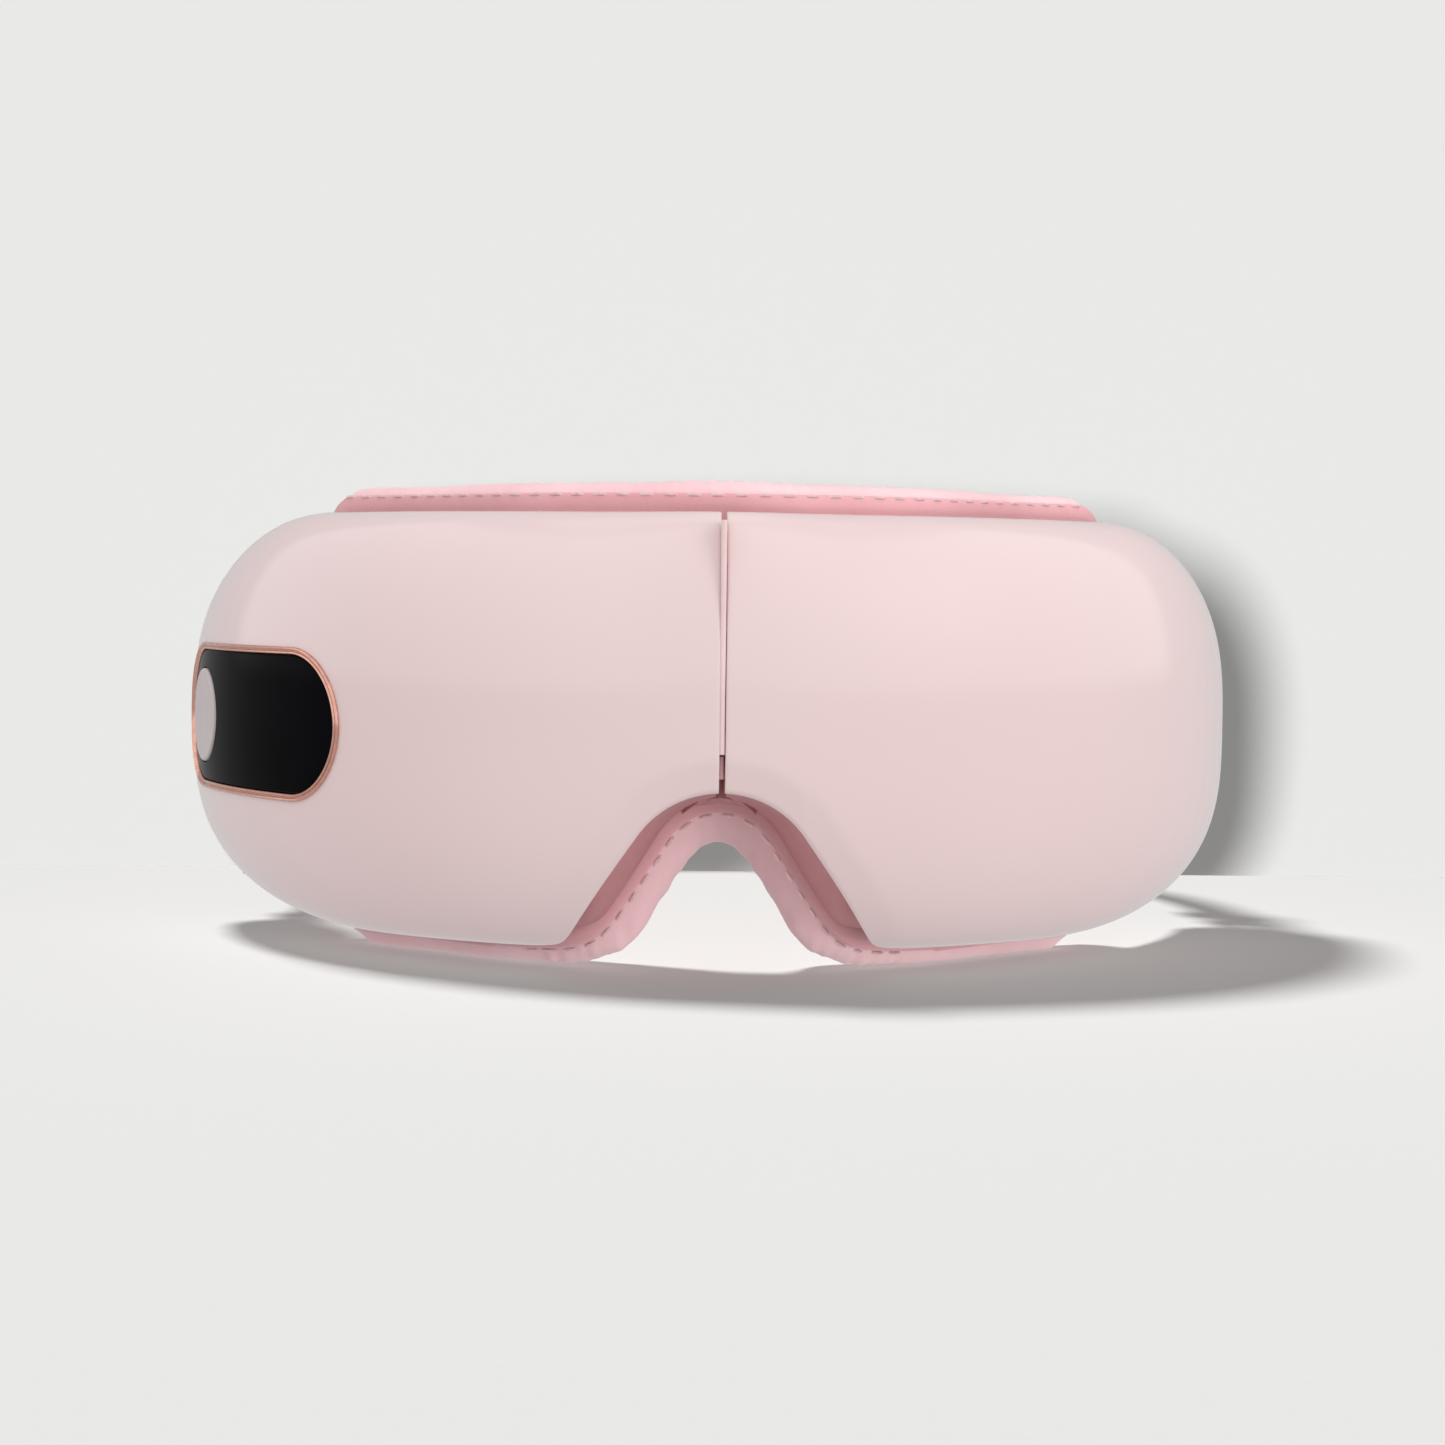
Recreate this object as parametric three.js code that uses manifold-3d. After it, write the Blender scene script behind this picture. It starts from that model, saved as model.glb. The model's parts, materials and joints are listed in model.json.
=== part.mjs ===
// Foldable eye massager mask: two gloss half shells on a vertical centre hinge, matte rear housings with
// the battery, air pump, valve, vibration motors and speakers, padded leather face side with two air-driven
// eye cushions, a control panel with one button at the left temple, and an elastic head strap.
// Millimetres. +Z up as worn, the front faces -Y, X = 0 is the fold plane, Z = 0 the lower edge of the pads.
import * as THREE from 'three';
import { mergeVertices } from 'three/addons/utils/BufferGeometryUtils.js';
import Module from 'manifold-3d';

const wasm = await Module();
wasm.setup();

// ---------------------------------------------------------------- driving dimensions
// Every shell, pad and panel is laid out on the mask's front surface, in "a" (arc length from the fold plane
// along the plan curve, negative on the left), "z" (height over the datum line) and "depth" behind the curve.
const PLAN_HANDLES = [[0, 0], [72.4, 0], [105.8, 62], [104.6, 99]]; // plan curve of the right half
const DATUM_Z = 40.6;        // datum line above the lower edge of the pads
const TOP = 40.6;            // upper edge of the shells over the datum
const BOTTOM = 36.1;         // lower edge of the shells under the datum
const TEMPLE_TOP = 30.3;     // the same two at the temples
const TEMPLE_BOTTOM = 27.5;
const TOP_FALLS_AT = 92;     // arc length where the upper edge starts to fall
const BOTTOM_FALLS_AT = 73;
const TEMPLE_A = 143.5;      // arc length where the rounded temple end starts
const END_A = 159;
const GAP = 1.0;             // between the two shells at the fold plane
const WALL = 2.0;            // shell wall
const CROWN = 13;            // depth of the shells' rounded rim
const CROWN_AT_FOLD = 8;     // shallower beside the fold, so that the halves clear each other
const CROWN_BLEND = 14;
const ARCH_TOP = -7.7;       // nose arch: crown, radius and slope of its legs
const ARCH_RADIUS = 18;
const ARCH_SLOPE = THREE.MathUtils.degToRad(54);
const HINGE_Y = 7.5;         // fold axis behind the front
const BARREL_R = 3;
const FOLD_HALF = THREE.MathUtils.degToRad(38);  // half of the fold's travel
const CLEAR = 0.3;
const HOUSING_WALL = 1.8;
const BACK_DEPTH = 15;       // depth of the housings' back plate, and its bulge round the pump
const BACK_BULGE = 6;
const PAD_TOP = 45.4;        // outline of the leather face pads
const PAD_RISE = 1.3;
const PAD_END_A = 110;
const PAD_ARCH = 10.5;       // how far the pads reach into the nose arch
const PAD_DEPTH = 27;        // depth of the face side, and how much deeper it is below the cheekbones
const PAD_BULGE = 5;
const EYE_A = 45;            // centre of each eye opening
const EYE_Z = 4.5;
const EYE_RA = 17.8;
const EYE_RZ = 20;
const STRAP_Z = 1.4;         // centre line of the strap over the datum
const STRAP_WIDTH = 25;
const STRAP_THICK = 2.2;
const STRAP_BAR_A = 166.5;   // arc length and depth of the bars that hold the strap
const STRAP_BAR_DEPTH = 10.5;
const BAR_R = 1.5;
const LOOP_R = 4.1;

// ---------------------------------------------------------------- the mask's surface
const planCurve = new THREE.CubicBezierCurve(...PLAN_HANDLES.map(([x, y]) => new THREE.Vector2(x, y)));
planCurve.arcLengthDivisions = 800;
const PLAN_LENGTH = planCurve.getLength();
const { sin, cos, tan, sqrt, abs, max, min, hypot, PI } = Math;
const clamp = THREE.MathUtils.clamp;

function planAt(a) {
  const run = min(a, PLAN_LENGTH);
  const point = planCurve.getPointAt(run / PLAN_LENGTH);
  const tangent = planCurve.getTangentAt(run / PLAN_LENGTH);
  return { x: point.x + (a - run) * tangent.x, y: point.y + (a - run) * tangent.y, tangent };
}

const barAt = planAt(STRAP_BAR_A);
const BAR_X = barAt.x - STRAP_BAR_DEPTH * barAt.tangent.y;
const BAR_Y = barAt.y + STRAP_BAR_DEPTH * barAt.tangent.x;
const STRAP_BACK_Y = 2 * BAR_Y - HINGE_Y;            // equal links, so the strap folds exactly with the mask
const FRONT_Y = -(STRAP_BACK_Y + LOOP_R) / 2;        // centres the whole part on Y = 0

// A point of the mask from its arc length, height and depth.
function place(a, z, depth) {
  const side = a < 0 ? -1 : 1;
  const { x, y, tangent } = planAt(abs(a));
  return new THREE.Vector3(
    side * (x - depth * tangent.y), FRONT_Y + y + depth * tangent.x, DATUM_Z + z);
}

// The placement of a rigid piece there: local x along the surface, y inwards, z up.
function seat(a, z, depth) {
  const { tangent } = planAt(abs(a));
  const turn = Math.sign(a) * Math.atan2(tangent.y, tangent.x);
  return new THREE.Matrix4().makeRotationZ(turn).setPosition(place(a, z, depth));
}

const easedFall = (a, from, full, end) =>
  end + (full - end) * cos(PI / 2 * clamp((abs(a) - from) / (TEMPLE_A - from), 0, 1));
const topHeight = (a) => easedFall(a, TOP_FALLS_AT, TOP, TEMPLE_TOP);
const bottomHeight = (a) => easedFall(a, BOTTOM_FALLS_AT, BOTTOM, TEMPLE_BOTTOM);
const endRatio = (a, grow) => clamp((abs(a) - TEMPLE_A) / (END_A + grow - TEMPLE_A), 0, 0.985);

// Height of the nose arch at a, moved into the opening by reach.
function archZ(a, reach) {
  const radius = ARCH_RADIUS - reach;
  const centre = ARCH_TOP - ARCH_RADIUS;
  const legA = radius * sin(ARCH_SLOPE);
  if (abs(a) <= legA) return centre + sqrt(radius * radius - a * a);
  return centre + radius * cos(ARCH_SLOPE) - (abs(a) - legA) * tan(ARCH_SLOPE);
}
const blendMax = (p, q, corner) => (p + q + hypot(p - q, corner)) / 2;

// Lower and upper edge of a layer at a; grow moves the rim outwards, reach moves the arch.
function shellEdges(a, grow, reach, corner = 3) {
  const end = sqrt(1 - endRatio(a, grow) ** 2);
  const low = blendMax(archZ(a, reach), -(bottomHeight(a) + grow) * end, corner);
  return [abs(a) < 60 ? low : -(bottomHeight(a) + grow) * end, (topHeight(a) + grow) * end];
}

// Depth of the shells' outer face, rounded towards the rim.
function faceDepth(a, z, grow = 0) {
  const height = (z > 0 ? topHeight(a) : bottomHeight(a)) + grow;
  const rim = min(1, hypot(z / height, endRatio(a, grow)));
  const crown = CROWN - (CROWN - CROWN_AT_FOLD) * Math.exp(-((a / CROWN_BLEND) ** 2));
  return crown * (1 - sqrt(1 - rim ** 3));
}
const innerDepth = (a, z) => WALL + faceDepth(a, z, -WALL);
// Depth of the housings' back plate: room for the pump and motors in the middle of each half.
const backDepth = (a) =>
  BACK_DEPTH + BACK_BULGE * Math.exp(-(((abs(a) - 74) / 32) ** 2)) + clamp((abs(a) - 110) / 50, 0, 1);

function fallToEnd(a, from, to, drop) {
  const u = clamp((abs(a) - from) / (to - from), 0, 1);
  return drop * (1 - sqrt(1 - u * u));
}
// Lower and upper edge of the padded face ring, drawn in by inset.
function padEdges(a, insetTop, insetBottom = insetTop, insetArch = insetTop, insetEnd = insetTop) {
  const rise = PAD_RISE * Math.exp(-((a / 20) ** 2));
  const high = PAD_TOP + rise - insetTop - fallToEnd(a, 86, PAD_END_A - insetEnd + 0.5, 20);
  const floor = -DATUM_Z + insetBottom + fallToEnd(a, 80, PAD_END_A - insetEnd + 0.5, 20);
  return [abs(a) < 50 ? blendMax(archZ(a, PAD_ARCH - insetArch), floor, 7) : floor, high];
}
const padDepth = (a) => PAD_DEPTH + PAD_BULGE * Math.exp(-(((abs(a) - 62) / 30) ** 2));

// ---------------------------------------------------------------- solids
function solid(geometry, matrix) {
  const bare = geometry.clone();
  bare.deleteAttribute('normal');
  bare.deleteAttribute('uv');
  if (matrix) bare.applyMatrix4(matrix);
  const merged = mergeVertices(bare, 1e-4);
  return new wasm.Manifold(new wasm.Mesh({
    numProp: 3,
    vertProperties: merged.attributes.position.array,
    triVerts: new Uint32Array(merged.index.array),
  }));
}
const joined = (...solids) => solids.reduce((all, next) => all.add(next));
const cut = (body, ...tools) => tools.reduce((left, tool) => left.subtract(tool), body);

// A closed body between two grids of points bent round the mask: outer and inner give [a, z, depth].
function bentSlab(columns, rows, outer, inner) {
  const positions = [];
  for (const face of [outer, inner]) {
    for (const a of columns) {
      for (const t of rows) positions.push(...place(...face(a, t)).toArray());
    }
  }
  const nc = columns.length;
  const nr = rows.length;
  const id = (face, i, j) => face * nc * nr + i * nr + j;
  const index = [];
  const quad = (p, q, r, s) => index.push(p, q, r, p, r, s);
  for (let i = 0; i + 1 < nc; i += 1) {
    for (let j = 0; j + 1 < nr; j += 1) {
      quad(id(0, i, j), id(0, i + 1, j), id(0, i + 1, j + 1), id(0, i, j + 1));
      quad(id(1, i, j), id(1, i, j + 1), id(1, i + 1, j + 1), id(1, i + 1, j));
    }
    quad(id(0, i, 0), id(1, i, 0), id(1, i + 1, 0), id(0, i + 1, 0));
    quad(id(0, i, nr - 1), id(0, i + 1, nr - 1), id(1, i + 1, nr - 1), id(1, i, nr - 1));
  }
  for (let j = 0; j + 1 < nr; j += 1) {
    quad(id(0, 0, j), id(0, 0, j + 1), id(1, 0, j + 1), id(1, 0, j));
    quad(id(0, nc - 1, j), id(1, nc - 1, j), id(1, nc - 1, j + 1), id(0, nc - 1, j + 1));
  }
  const geometry = new THREE.BufferGeometry();
  geometry.setAttribute('position', new THREE.Float32BufferAttribute(positions, 3));
  geometry.setIndex(index);
  return solid(geometry);
}

const steps = (from, to, count) => Array.from({ length: count + 1 }, (_, i) => from + (to - from) * i / count);
const rimRows = (count) => steps(-1, 1, count).map((t) => (1 + sin(t * PI / 2)) / 2);
const sided = (side, list) => (side > 0 ? list : list.map((a) => -a).reverse());
const between = ([low, high], t) => low + (high - low) * t;

// A bent disc or stadium round (a, z): half length ra, half height rz, straight for the middle part.
function bentPlate(a0, z0, ra, rz, front, back, straight = 0, count = 10) {
  const bulge = ra - straight;
  const ease = steps(-1, 1, count).map((t) => sin(t * PI / 2) * 0.998);
  const offsets = straight > 0
    ? [...ease.filter((t) => t < 0).map((t) => t * bulge - straight), ...steps(-straight, straight, 6),
      ...ease.filter((t) => t > 0).map((t) => t * bulge + straight)]
    : ease.map((t) => t * ra);
  const half = (offset) => rz * sqrt(1 - (max(abs(offset) - straight, 0) / bulge) ** 2);
  const depthOf = (d, a, z) => (typeof d === 'function' ? d(a, z) : d);
  const face = (d) => (a, t) => {
    const z = z0 + (2 * t - 1) * half(a - a0);
    return [a, z, depthOf(d, a, z)];
  };
  return bentSlab(offsets.map((offset) => a0 + offset), [0, 1], face(front), face(back));
}

const box = (w, d, h, matrix) => solid(new THREE.BoxGeometry(w, d, h), matrix);
const cylinder = (radius, height, matrix, sides = 24) =>
  solid(new THREE.CylinderGeometry(radius, radius, height, sides).rotateX(PI / 2), matrix);
const at = (x, y, z) => new THREE.Matrix4().makeTranslation(x, y, z);
const inDepth = (matrix) => matrix.clone().multiply(new THREE.Matrix4().makeRotationX(-PI / 2));

function outlinePrism(points, height, z) {
  const shape = new THREE.Shape(points.map(([x, y]) => new THREE.Vector2(x, y)));
  return solid(new THREE.ExtrudeGeometry(shape, { depth: height, bevelEnabled: false }), at(0, 0, z));
}

// Everything a half may not fill, so that both halves can fold until they meet.
const FOLD_RUN = 60;         // how far behind the hinge the cutting prisms reach
const TOOL_LOW = -50;
const TOOL_HEIGHT = 200;
function foldRoom(side, extra) {
  const edge = GAP / 2 + extra;
  const far = CLEAR + extra + FOLD_RUN * tan(FOLD_HALF);
  const points = [[-60, -40], [edge, -40], [edge, HINGE_Y], [far, HINGE_Y + FOLD_RUN],
    [-60, HINGE_Y + FOLD_RUN]];
  const placed = points.map(([x, y]) => [side * x, FRONT_Y + y]);
  return outlinePrism(side > 0 ? placed : placed.reverse(), TOOL_HEIGHT, TOOL_LOW);
}
// What fills the room between the halves: the gusset and the bridge pad are cut to it.
const foldWedge = (() => {
  const halfWidth = FOLD_RUN * tan(FOLD_HALF) - CLEAR;
  const apex = HINGE_Y + BARREL_R + 2 * CLEAR;
  const apexHalf = (apex - HINGE_Y) * tan(FOLD_HALF) - CLEAR;
  const backY = FRONT_Y + HINGE_Y + FOLD_RUN;
  const apexY = FRONT_Y + apex;
  const outline = [[-apexHalf, apexY], [apexHalf, apexY], [halfWidth, backY], [-halfWidth, backY]];
  return outlinePrism(outline, TOOL_HEIGHT, TOOL_LOW);
})();
const barrelRoom = cylinder(BARREL_R + CLEAR, 40, at(0, FRONT_Y + HINGE_Y, DATUM_Z + 11.5));

// ---------------------------------------------------------------- materials
const finish = (color, roughness, metalness = 0) =>
  new THREE.MeshStandardMaterial({ color, roughness, metalness });
const glossPink = () => finish(0xe8d4d3, 0.12);
const mattePink = () => finish(0xc98a8c, 0.55);
const leatherPink = () => finish(0xe3c6c8, 0.5);
const roseGold = () => finish(0xd99f92, 0.2, 1);
const gloss = (color) => finish(color, 0.1);
const steel = () => finish(0xb8bcc0, 0.3, 1);
const board = () => finish(0x1f5a3c, 0.5);
const blackPlastic = () => finish(0x222326, 0.45);
const paleRubber = () => finish(0xd8d2cf, 0.7);

const mask = new THREE.Group();
function addPart(name, body, material) {
  const made = body.getMesh();
  const geometry = new THREE.BufferGeometry();
  geometry.setAttribute('position', new THREE.BufferAttribute(new Float32Array(made.vertProperties), 3));
  geometry.setIndex(new THREE.BufferAttribute(new Uint32Array(made.triVerts), 1));
  geometry.computeVertexNormals();
  const mesh = new THREE.Mesh(geometry, material);
  mesh.name = name;
  mask.add(mesh);
}
const sideName = (side) => (side < 0 ? 'left' : 'right');

// ---------------------------------------------------------------- shells, housings and their screws
const SCREW_SPOTS = [[24, 28.5], [66, 26], [66, -27], [112, 20]];
const BOSS_R = 3;
const PANEL = { a: 107.5, z: 1.8, length: 34.5, height: 14.2, straight: 20.3 };
const BUTTON = { a: 127.3, z: 1.8, radius: 9 };
const PORT = { a: -126, z: -28.8, depth: 10 };
const TAB = { a: 152, depth: STRAP_BAR_DEPTH, height: 30 };

const shellColumns = [GAP / 2, 4.5, 9, 13, 17, 21, 25, 29, 33, 40, ...steps(48, 138, 12),
  ...steps(0, 1, 5).map((t) => TEMPLE_A + (END_A - TEMPLE_A) * sin(t * PI / 2))];
const screwSeat = (side, [a, z], depth) => inDepth(seat(side * a, z, depth));

function frontShell(side) {
  const outer = (a, t) => {
    const z = between(shellEdges(a, 0, 0), t);
    return [a, z, faceDepth(a, z)];
  };
  const inner = (a, t) => {
    const z = between(shellEdges(a, -WALL, -WALL), t);
    return [a, z, innerDepth(a, z)];
  };
  let shell = bentSlab(sided(side, shellColumns), rimRows(10), outer, inner);
  for (const spot of SCREW_SPOTS) {
    const start = faceDepth(...spot) + 1.2;
    const end = backDepth(spot[0]) - HOUSING_WALL - CLEAR;
    const boss = cylinder(BOSS_R, end - start, screwSeat(side, spot, (start + end) / 2), 12);
    shell = shell.add(boss).subtract(cylinder(1.5, 8, screwSeat(side, spot, end - 3), 12));
  }
  const strapSlot = box(26, 3.6, TAB.height + 1.2, seat(side * TAB.a, STRAP_Z, TAB.depth));
  return cut(shell, barrelRoom, strapSlot, foldRoom(side, 0));
}

// Rear housing: an open tray whose back plate carries the pads. It is solid beside the hinge.
const trayColumns = [GAP / 2, 4, 8, 12, 16, 20, 24, 27, 30, 33, 40, ...steps(48, 138, 10),
  ...steps(0, 1, 4).map((t) => TEMPLE_A + (END_A - 2.5 - TEMPLE_A) * sin(t * PI / 2))];
const TRAY_CLEAR = 1.3;       // from the shells' inner face
const TRAY_REACH = 2.8;      // how far the back plate reaches into the nose arch
const HINGE_LOW = -6;        // pocket round the hinge leaves
const HINGE_HIGH = 31;
const LEAF_POCKET_X = 17;
const LEAF_Y = 8.7;          // front face of the hinge leaves' plates
const LEAF_THICK = 2;

const crossing = box(30, 4, 3.8, at(0, FRONT_Y + 12.2, DATUM_Z + 34));   // passage of the air hose

// The room round the hinge leaves, centred on the front plane.
const leafRoom = (depth) => box(2 * LEAF_POCKET_X, depth, HINGE_HIGH - HINGE_LOW + 2,
  at(0, FRONT_Y, DATUM_Z + (HINGE_HIGH + HINGE_LOW) / 2));

function rearHousing(side) {
  const layer = (grow, reach, depthAt) => (a, t) => {
    const z = between(shellEdges(a, grow, reach), t);
    return [a, z, depthAt(a, z)];
  };
  const rim = -WALL - TRAY_CLEAR;
  const columns = sided(side, trayColumns);
  const outside = bentSlab(columns, rimRows(6),
    layer(rim, -CLEAR, (a, z) => innerDepth(a, z) + TRAY_CLEAR), layer(rim, TRAY_REACH, backDepth));
  const hollow = cut(
    bentSlab(columns, [0, 1],
      layer(rim - HOUSING_WALL, -CLEAR - HOUSING_WALL - 1, () => -4),
      layer(rim - HOUSING_WALL, TRAY_REACH - HOUSING_WALL - 1, (a) => backDepth(a) - HOUSING_WALL)),
    foldRoom(side, 1.3 * HOUSING_WALL), leafRoom(60));
  const leafPocket = leafRoom(2 * (LEAF_Y + LEAF_THICK + CLEAR));
  let tray = cut(outside, hollow, leafPocket, foldRoom(side, 0), barrelRoom);
  for (const spot of SCREW_SPOTS) {
    tray = tray.subtract(cylinder(1.6, 8, screwSeat(side, spot, backDepth(spot[0])), 12));
  }
  const hoseHole = cylinder(2.6, 10, inDepth(seat(side * EYE_A, EYE_Z, backDepth(EYE_A))), 16);
  const strapSlot = box(26, 3.6, TAB.height + 1.2, seat(side * TAB.a, STRAP_Z, TAB.depth));
  return cut(tray, hoseHole, crossing, strapSlot);
}

function screw(side, spot) {
  const head = cylinder(2.6, 1.2, screwSeat(side, spot, backDepth(spot[0]) + 1.1), 10);
  const shank = cylinder(1.2, 9, screwSeat(side, spot, backDepth(spot[0]) + 1 - 4), 6);
  return head.add(shank);
}

for (const side of [-1, 1]) {
  let shell = frontShell(side);
  let tray = rearHousing(side);
  if (side < 0) {
    const portHole = box(9.8, 4, 12, seat(PORT.a, PORT.z, PORT.depth));
    const panelHole = bentPlate(-PANEL.a, PANEL.z, PANEL.length, PANEL.height, -3, 8, PANEL.straight);
    shell = cut(shell, portHole, panelHole);
    tray = cut(tray, portHole);
  }
  addPart(`front_shell_${sideName(side)}`, shell, glossPink());
  addPart(`rear_housing_${sideName(side)}`, tray, mattePink());
  SCREW_SPOTS.forEach((spot, i) =>
    addPart(`housing_screw_${sideName(side)}_${i + 1}`, screw(side, spot), steel()));
}

// ---------------------------------------------------------------- control panel at the left temple
{
  const { a, z, length, height, straight } = PANEL;
  const stadium = (inset, front, back) =>
    bentPlate(-a, z, length - inset, height - inset, front, back, straight);
  const ring = cut(stadium(CLEAR, -0.7, 2.2), stadium(1.6, -3, 5));
  const buttonHole = bentPlate(-BUTTON.a, BUTTON.z, BUTTON.radius + CLEAR, BUTTON.radius + CLEAR, -3, 8);
  addPart('bezel_ring', ring, roseGold());
  addPart('control_panel', cut(stadium(1.6 + CLEAR, -0.1, 1.9), buttonHole), gloss(0x0b0b0d));
  addPart('power_button', bentPlate(-BUTTON.a, BUTTON.z, BUTTON.radius, BUTTON.radius, -0.5, 2.4),
    finish(0xcbbfbf, 0.5));
  addPart('tact_switch', box(6, 2.6, 6, seat(-BUTTON.a, BUTTON.z, 4.9)), blackPlastic());
  addPart('button_board', box(26, 1.2, 18, seat(-BUTTON.a, BUTTON.z, 7.2)), board());
  addPart('charge_port', cut(box(9, 3.2, 7, seat(PORT.a, PORT.z + 2.6, PORT.depth)),
    box(7.6, 1.8, 6, seat(PORT.a, PORT.z, PORT.depth))), steel());
}

// ---------------------------------------------------------------- electronics, pump and motors
const PUMP_A = 78;
addPart('main_board', box(32, 1.6, 22, seat(-35, 13, 8)), board());
addPart('radio_module', box(12, 1.8, 9, seat(-29, 15, 10.2)), steel());
addPart('battery', box(34, 5.4, 22, seat(36, 13, 8.2)), finish(0x9aa3ad, 0.4));
addPart('air_pump_motor', cylinder(6.5, 20, seat(PUMP_A, -14, 11.5)), steel());
addPart('air_pump_head', box(15, 14, 12, seat(PUMP_A, 2.4, 11.5)), blackPlastic());
addPart('air_valve', box(10, 9, 14, seat(98, 0, 10)), blackPlastic());
for (const side of [-1, 1]) {
  const name = sideName(side);
  const speakerA = side < 0 ? 90 : 128;
  const speakerZ = side < 0 ? 0 : -12;
  addPart(`speaker_${name}`, cylinder(8, 4.5, inDepth(seat(side * speakerA, speakerZ, 8)), 20), blackPlastic());
  const motorSeat = (z) => seat(side * 54, z, 9.5);
  const motor = cylinder(4.5, 11, motorSeat(-17)).add(cylinder(0.9, 5.6, motorSeat(-9.2), 8));
  const weight = cut(cylinder(4.2, 4, motorSeat(-8.6)), cylinder(1.2, 8, motorSeat(-8.6), 10),
    box(10, 10, 8, motorSeat(-8.6).multiply(at(0, 6.6, 0))));
  addPart(`vibration_motor_${name}`, motor, steel());
  addPart(`eccentric_weight_${name}`, weight, finish(0xa88f5c, 0.4, 1));
}

const HOSE_R = 1.5;
function hose(points) {
  const ring = new THREE.Shape();
  ring.absarc(0, 0, HOSE_R, 0, 2 * PI);
  const path = new THREE.CatmullRomCurve3(points);
  return solid(new THREE.ExtrudeGeometry(ring,
    { steps: 18, curveSegments: 4, extrudePath: path, bevelEnabled: false }));
}
const route = (...points) => points.map((point) => place(...point));
const hoseEnd = backDepth(EYE_A) - 0.2;
const crossRun = [[60, 33.7, 11.3], [45, 33.7, 10.9], [24, 33.7, 10.8], [10, 33.9, 11.4]];
const mirrored = ([a, z, depth]) => [-a, z, depth];
addPart('air_hose_right', hose(route([68.6, 5, 11], [63, 5.5, 12], [55, 5, 13.2], [49, 4.6, 13.6],
  [45.6, EYE_Z, 14.4], [EYE_A, EYE_Z, hoseEnd])), paleRubber());
addPart('air_hose_crossover', hose(route([76, 8.8, 11], [76, 16, 11], [75, 26, 11.6], [70, 32.5, 11.8],
  ...crossRun, [0, 34, 12.2], ...crossRun.slice(2).reverse().map(mirrored))), paleRubber());
addPart('air_hose_left', hose(route([-24.4, 33.7, 10.8], [-40, 33.2, 11], [-52, 29, 11.6], [-56, 18, 12],
  [-53, 8, 13], [-49, 4.8, 13.6], [-45.6, EYE_Z, 14.4], [-EYE_A, EYE_Z, hoseEnd])), paleRubber());

// ---------------------------------------------------------------- hinge
const leafArms = [[-5.2, 4.1], [26.8, 3.2]];          // lower and upper knuckle of the left leaf
const BARREL = [-0.8, 27.3];                          // lower end and length of the right leaf's barrel
const hingeAt = (z) => at(0, FRONT_Y + HINGE_Y, DATUM_Z + z);
const bore = cylinder(1.35, 80, hingeAt(0), 16);

function knuckle(side, low, length) {
  const z = low + length / 2;
  const arm = box(5.2, 2.4, length, at(side * 3.8, FRONT_Y + HINGE_Y, DATUM_Z + z));
  const neck = box(2.2, 4.6, length, at(side * 5.3, FRONT_Y + HINGE_Y + 1, DATUM_Z + z));
  return joined(cylinder(BARREL_R, length, hingeAt(z), 28), arm, neck);
}
function leafPlate(side) {
  const low = HINGE_LOW + 1;
  const height = HINGE_HIGH - HINGE_LOW - 2;
  return box(11, LEAF_THICK, height,
    at(side * 9.7, FRONT_Y + LEAF_Y + LEAF_THICK / 2, DATUM_Z + low + height / 2));
}
addPart('hinge_leaf_right', cut(joined(leafPlate(1), knuckle(1, ...BARREL)), bore), mattePink());
addPart('hinge_leaf_left', cut(joined(leafPlate(-1), ...leafArms.map((arm) => knuckle(-1, ...arm))), bore),
  mattePink());
addPart('hinge_pin', cylinder(1.1, 34.6, hingeAt(12.4), 16), steel());

// ---------------------------------------------------------------- face side
const PAD_GAP = 0.3;
const FRAME_THICK = 1.7;
const PAD_FRONT_INSETS = [0, 0, 0, 0];               // top, bottom, nose arch, temple end
const PAD_BACK_INSETS = [2.5, 0, 2, 2];
const frameBack = (a) => backDepth(a) + PAD_GAP + FRAME_THICK;
const padFront = (a) => frameBack(a) + PAD_GAP;
const padColumns = [0, 3, 6, 9, 12, 15, 18, 21, 24, 28, ...steps(34, 82, 8), 86, 92, 97, 101, 104.5, 107, 108.7,
  PAD_END_A - 0.4];
const FRAME_END_A = PAD_END_A - 4.4;
const frameColumns = [...padColumns.filter((a) => a < FRAME_END_A), FRAME_END_A];
const eyeHole = (side, grow) => bentPlate(side * EYE_A, EYE_Z, EYE_RA + grow, EYE_RZ + grow, 8, 60, 0, 14);

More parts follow.
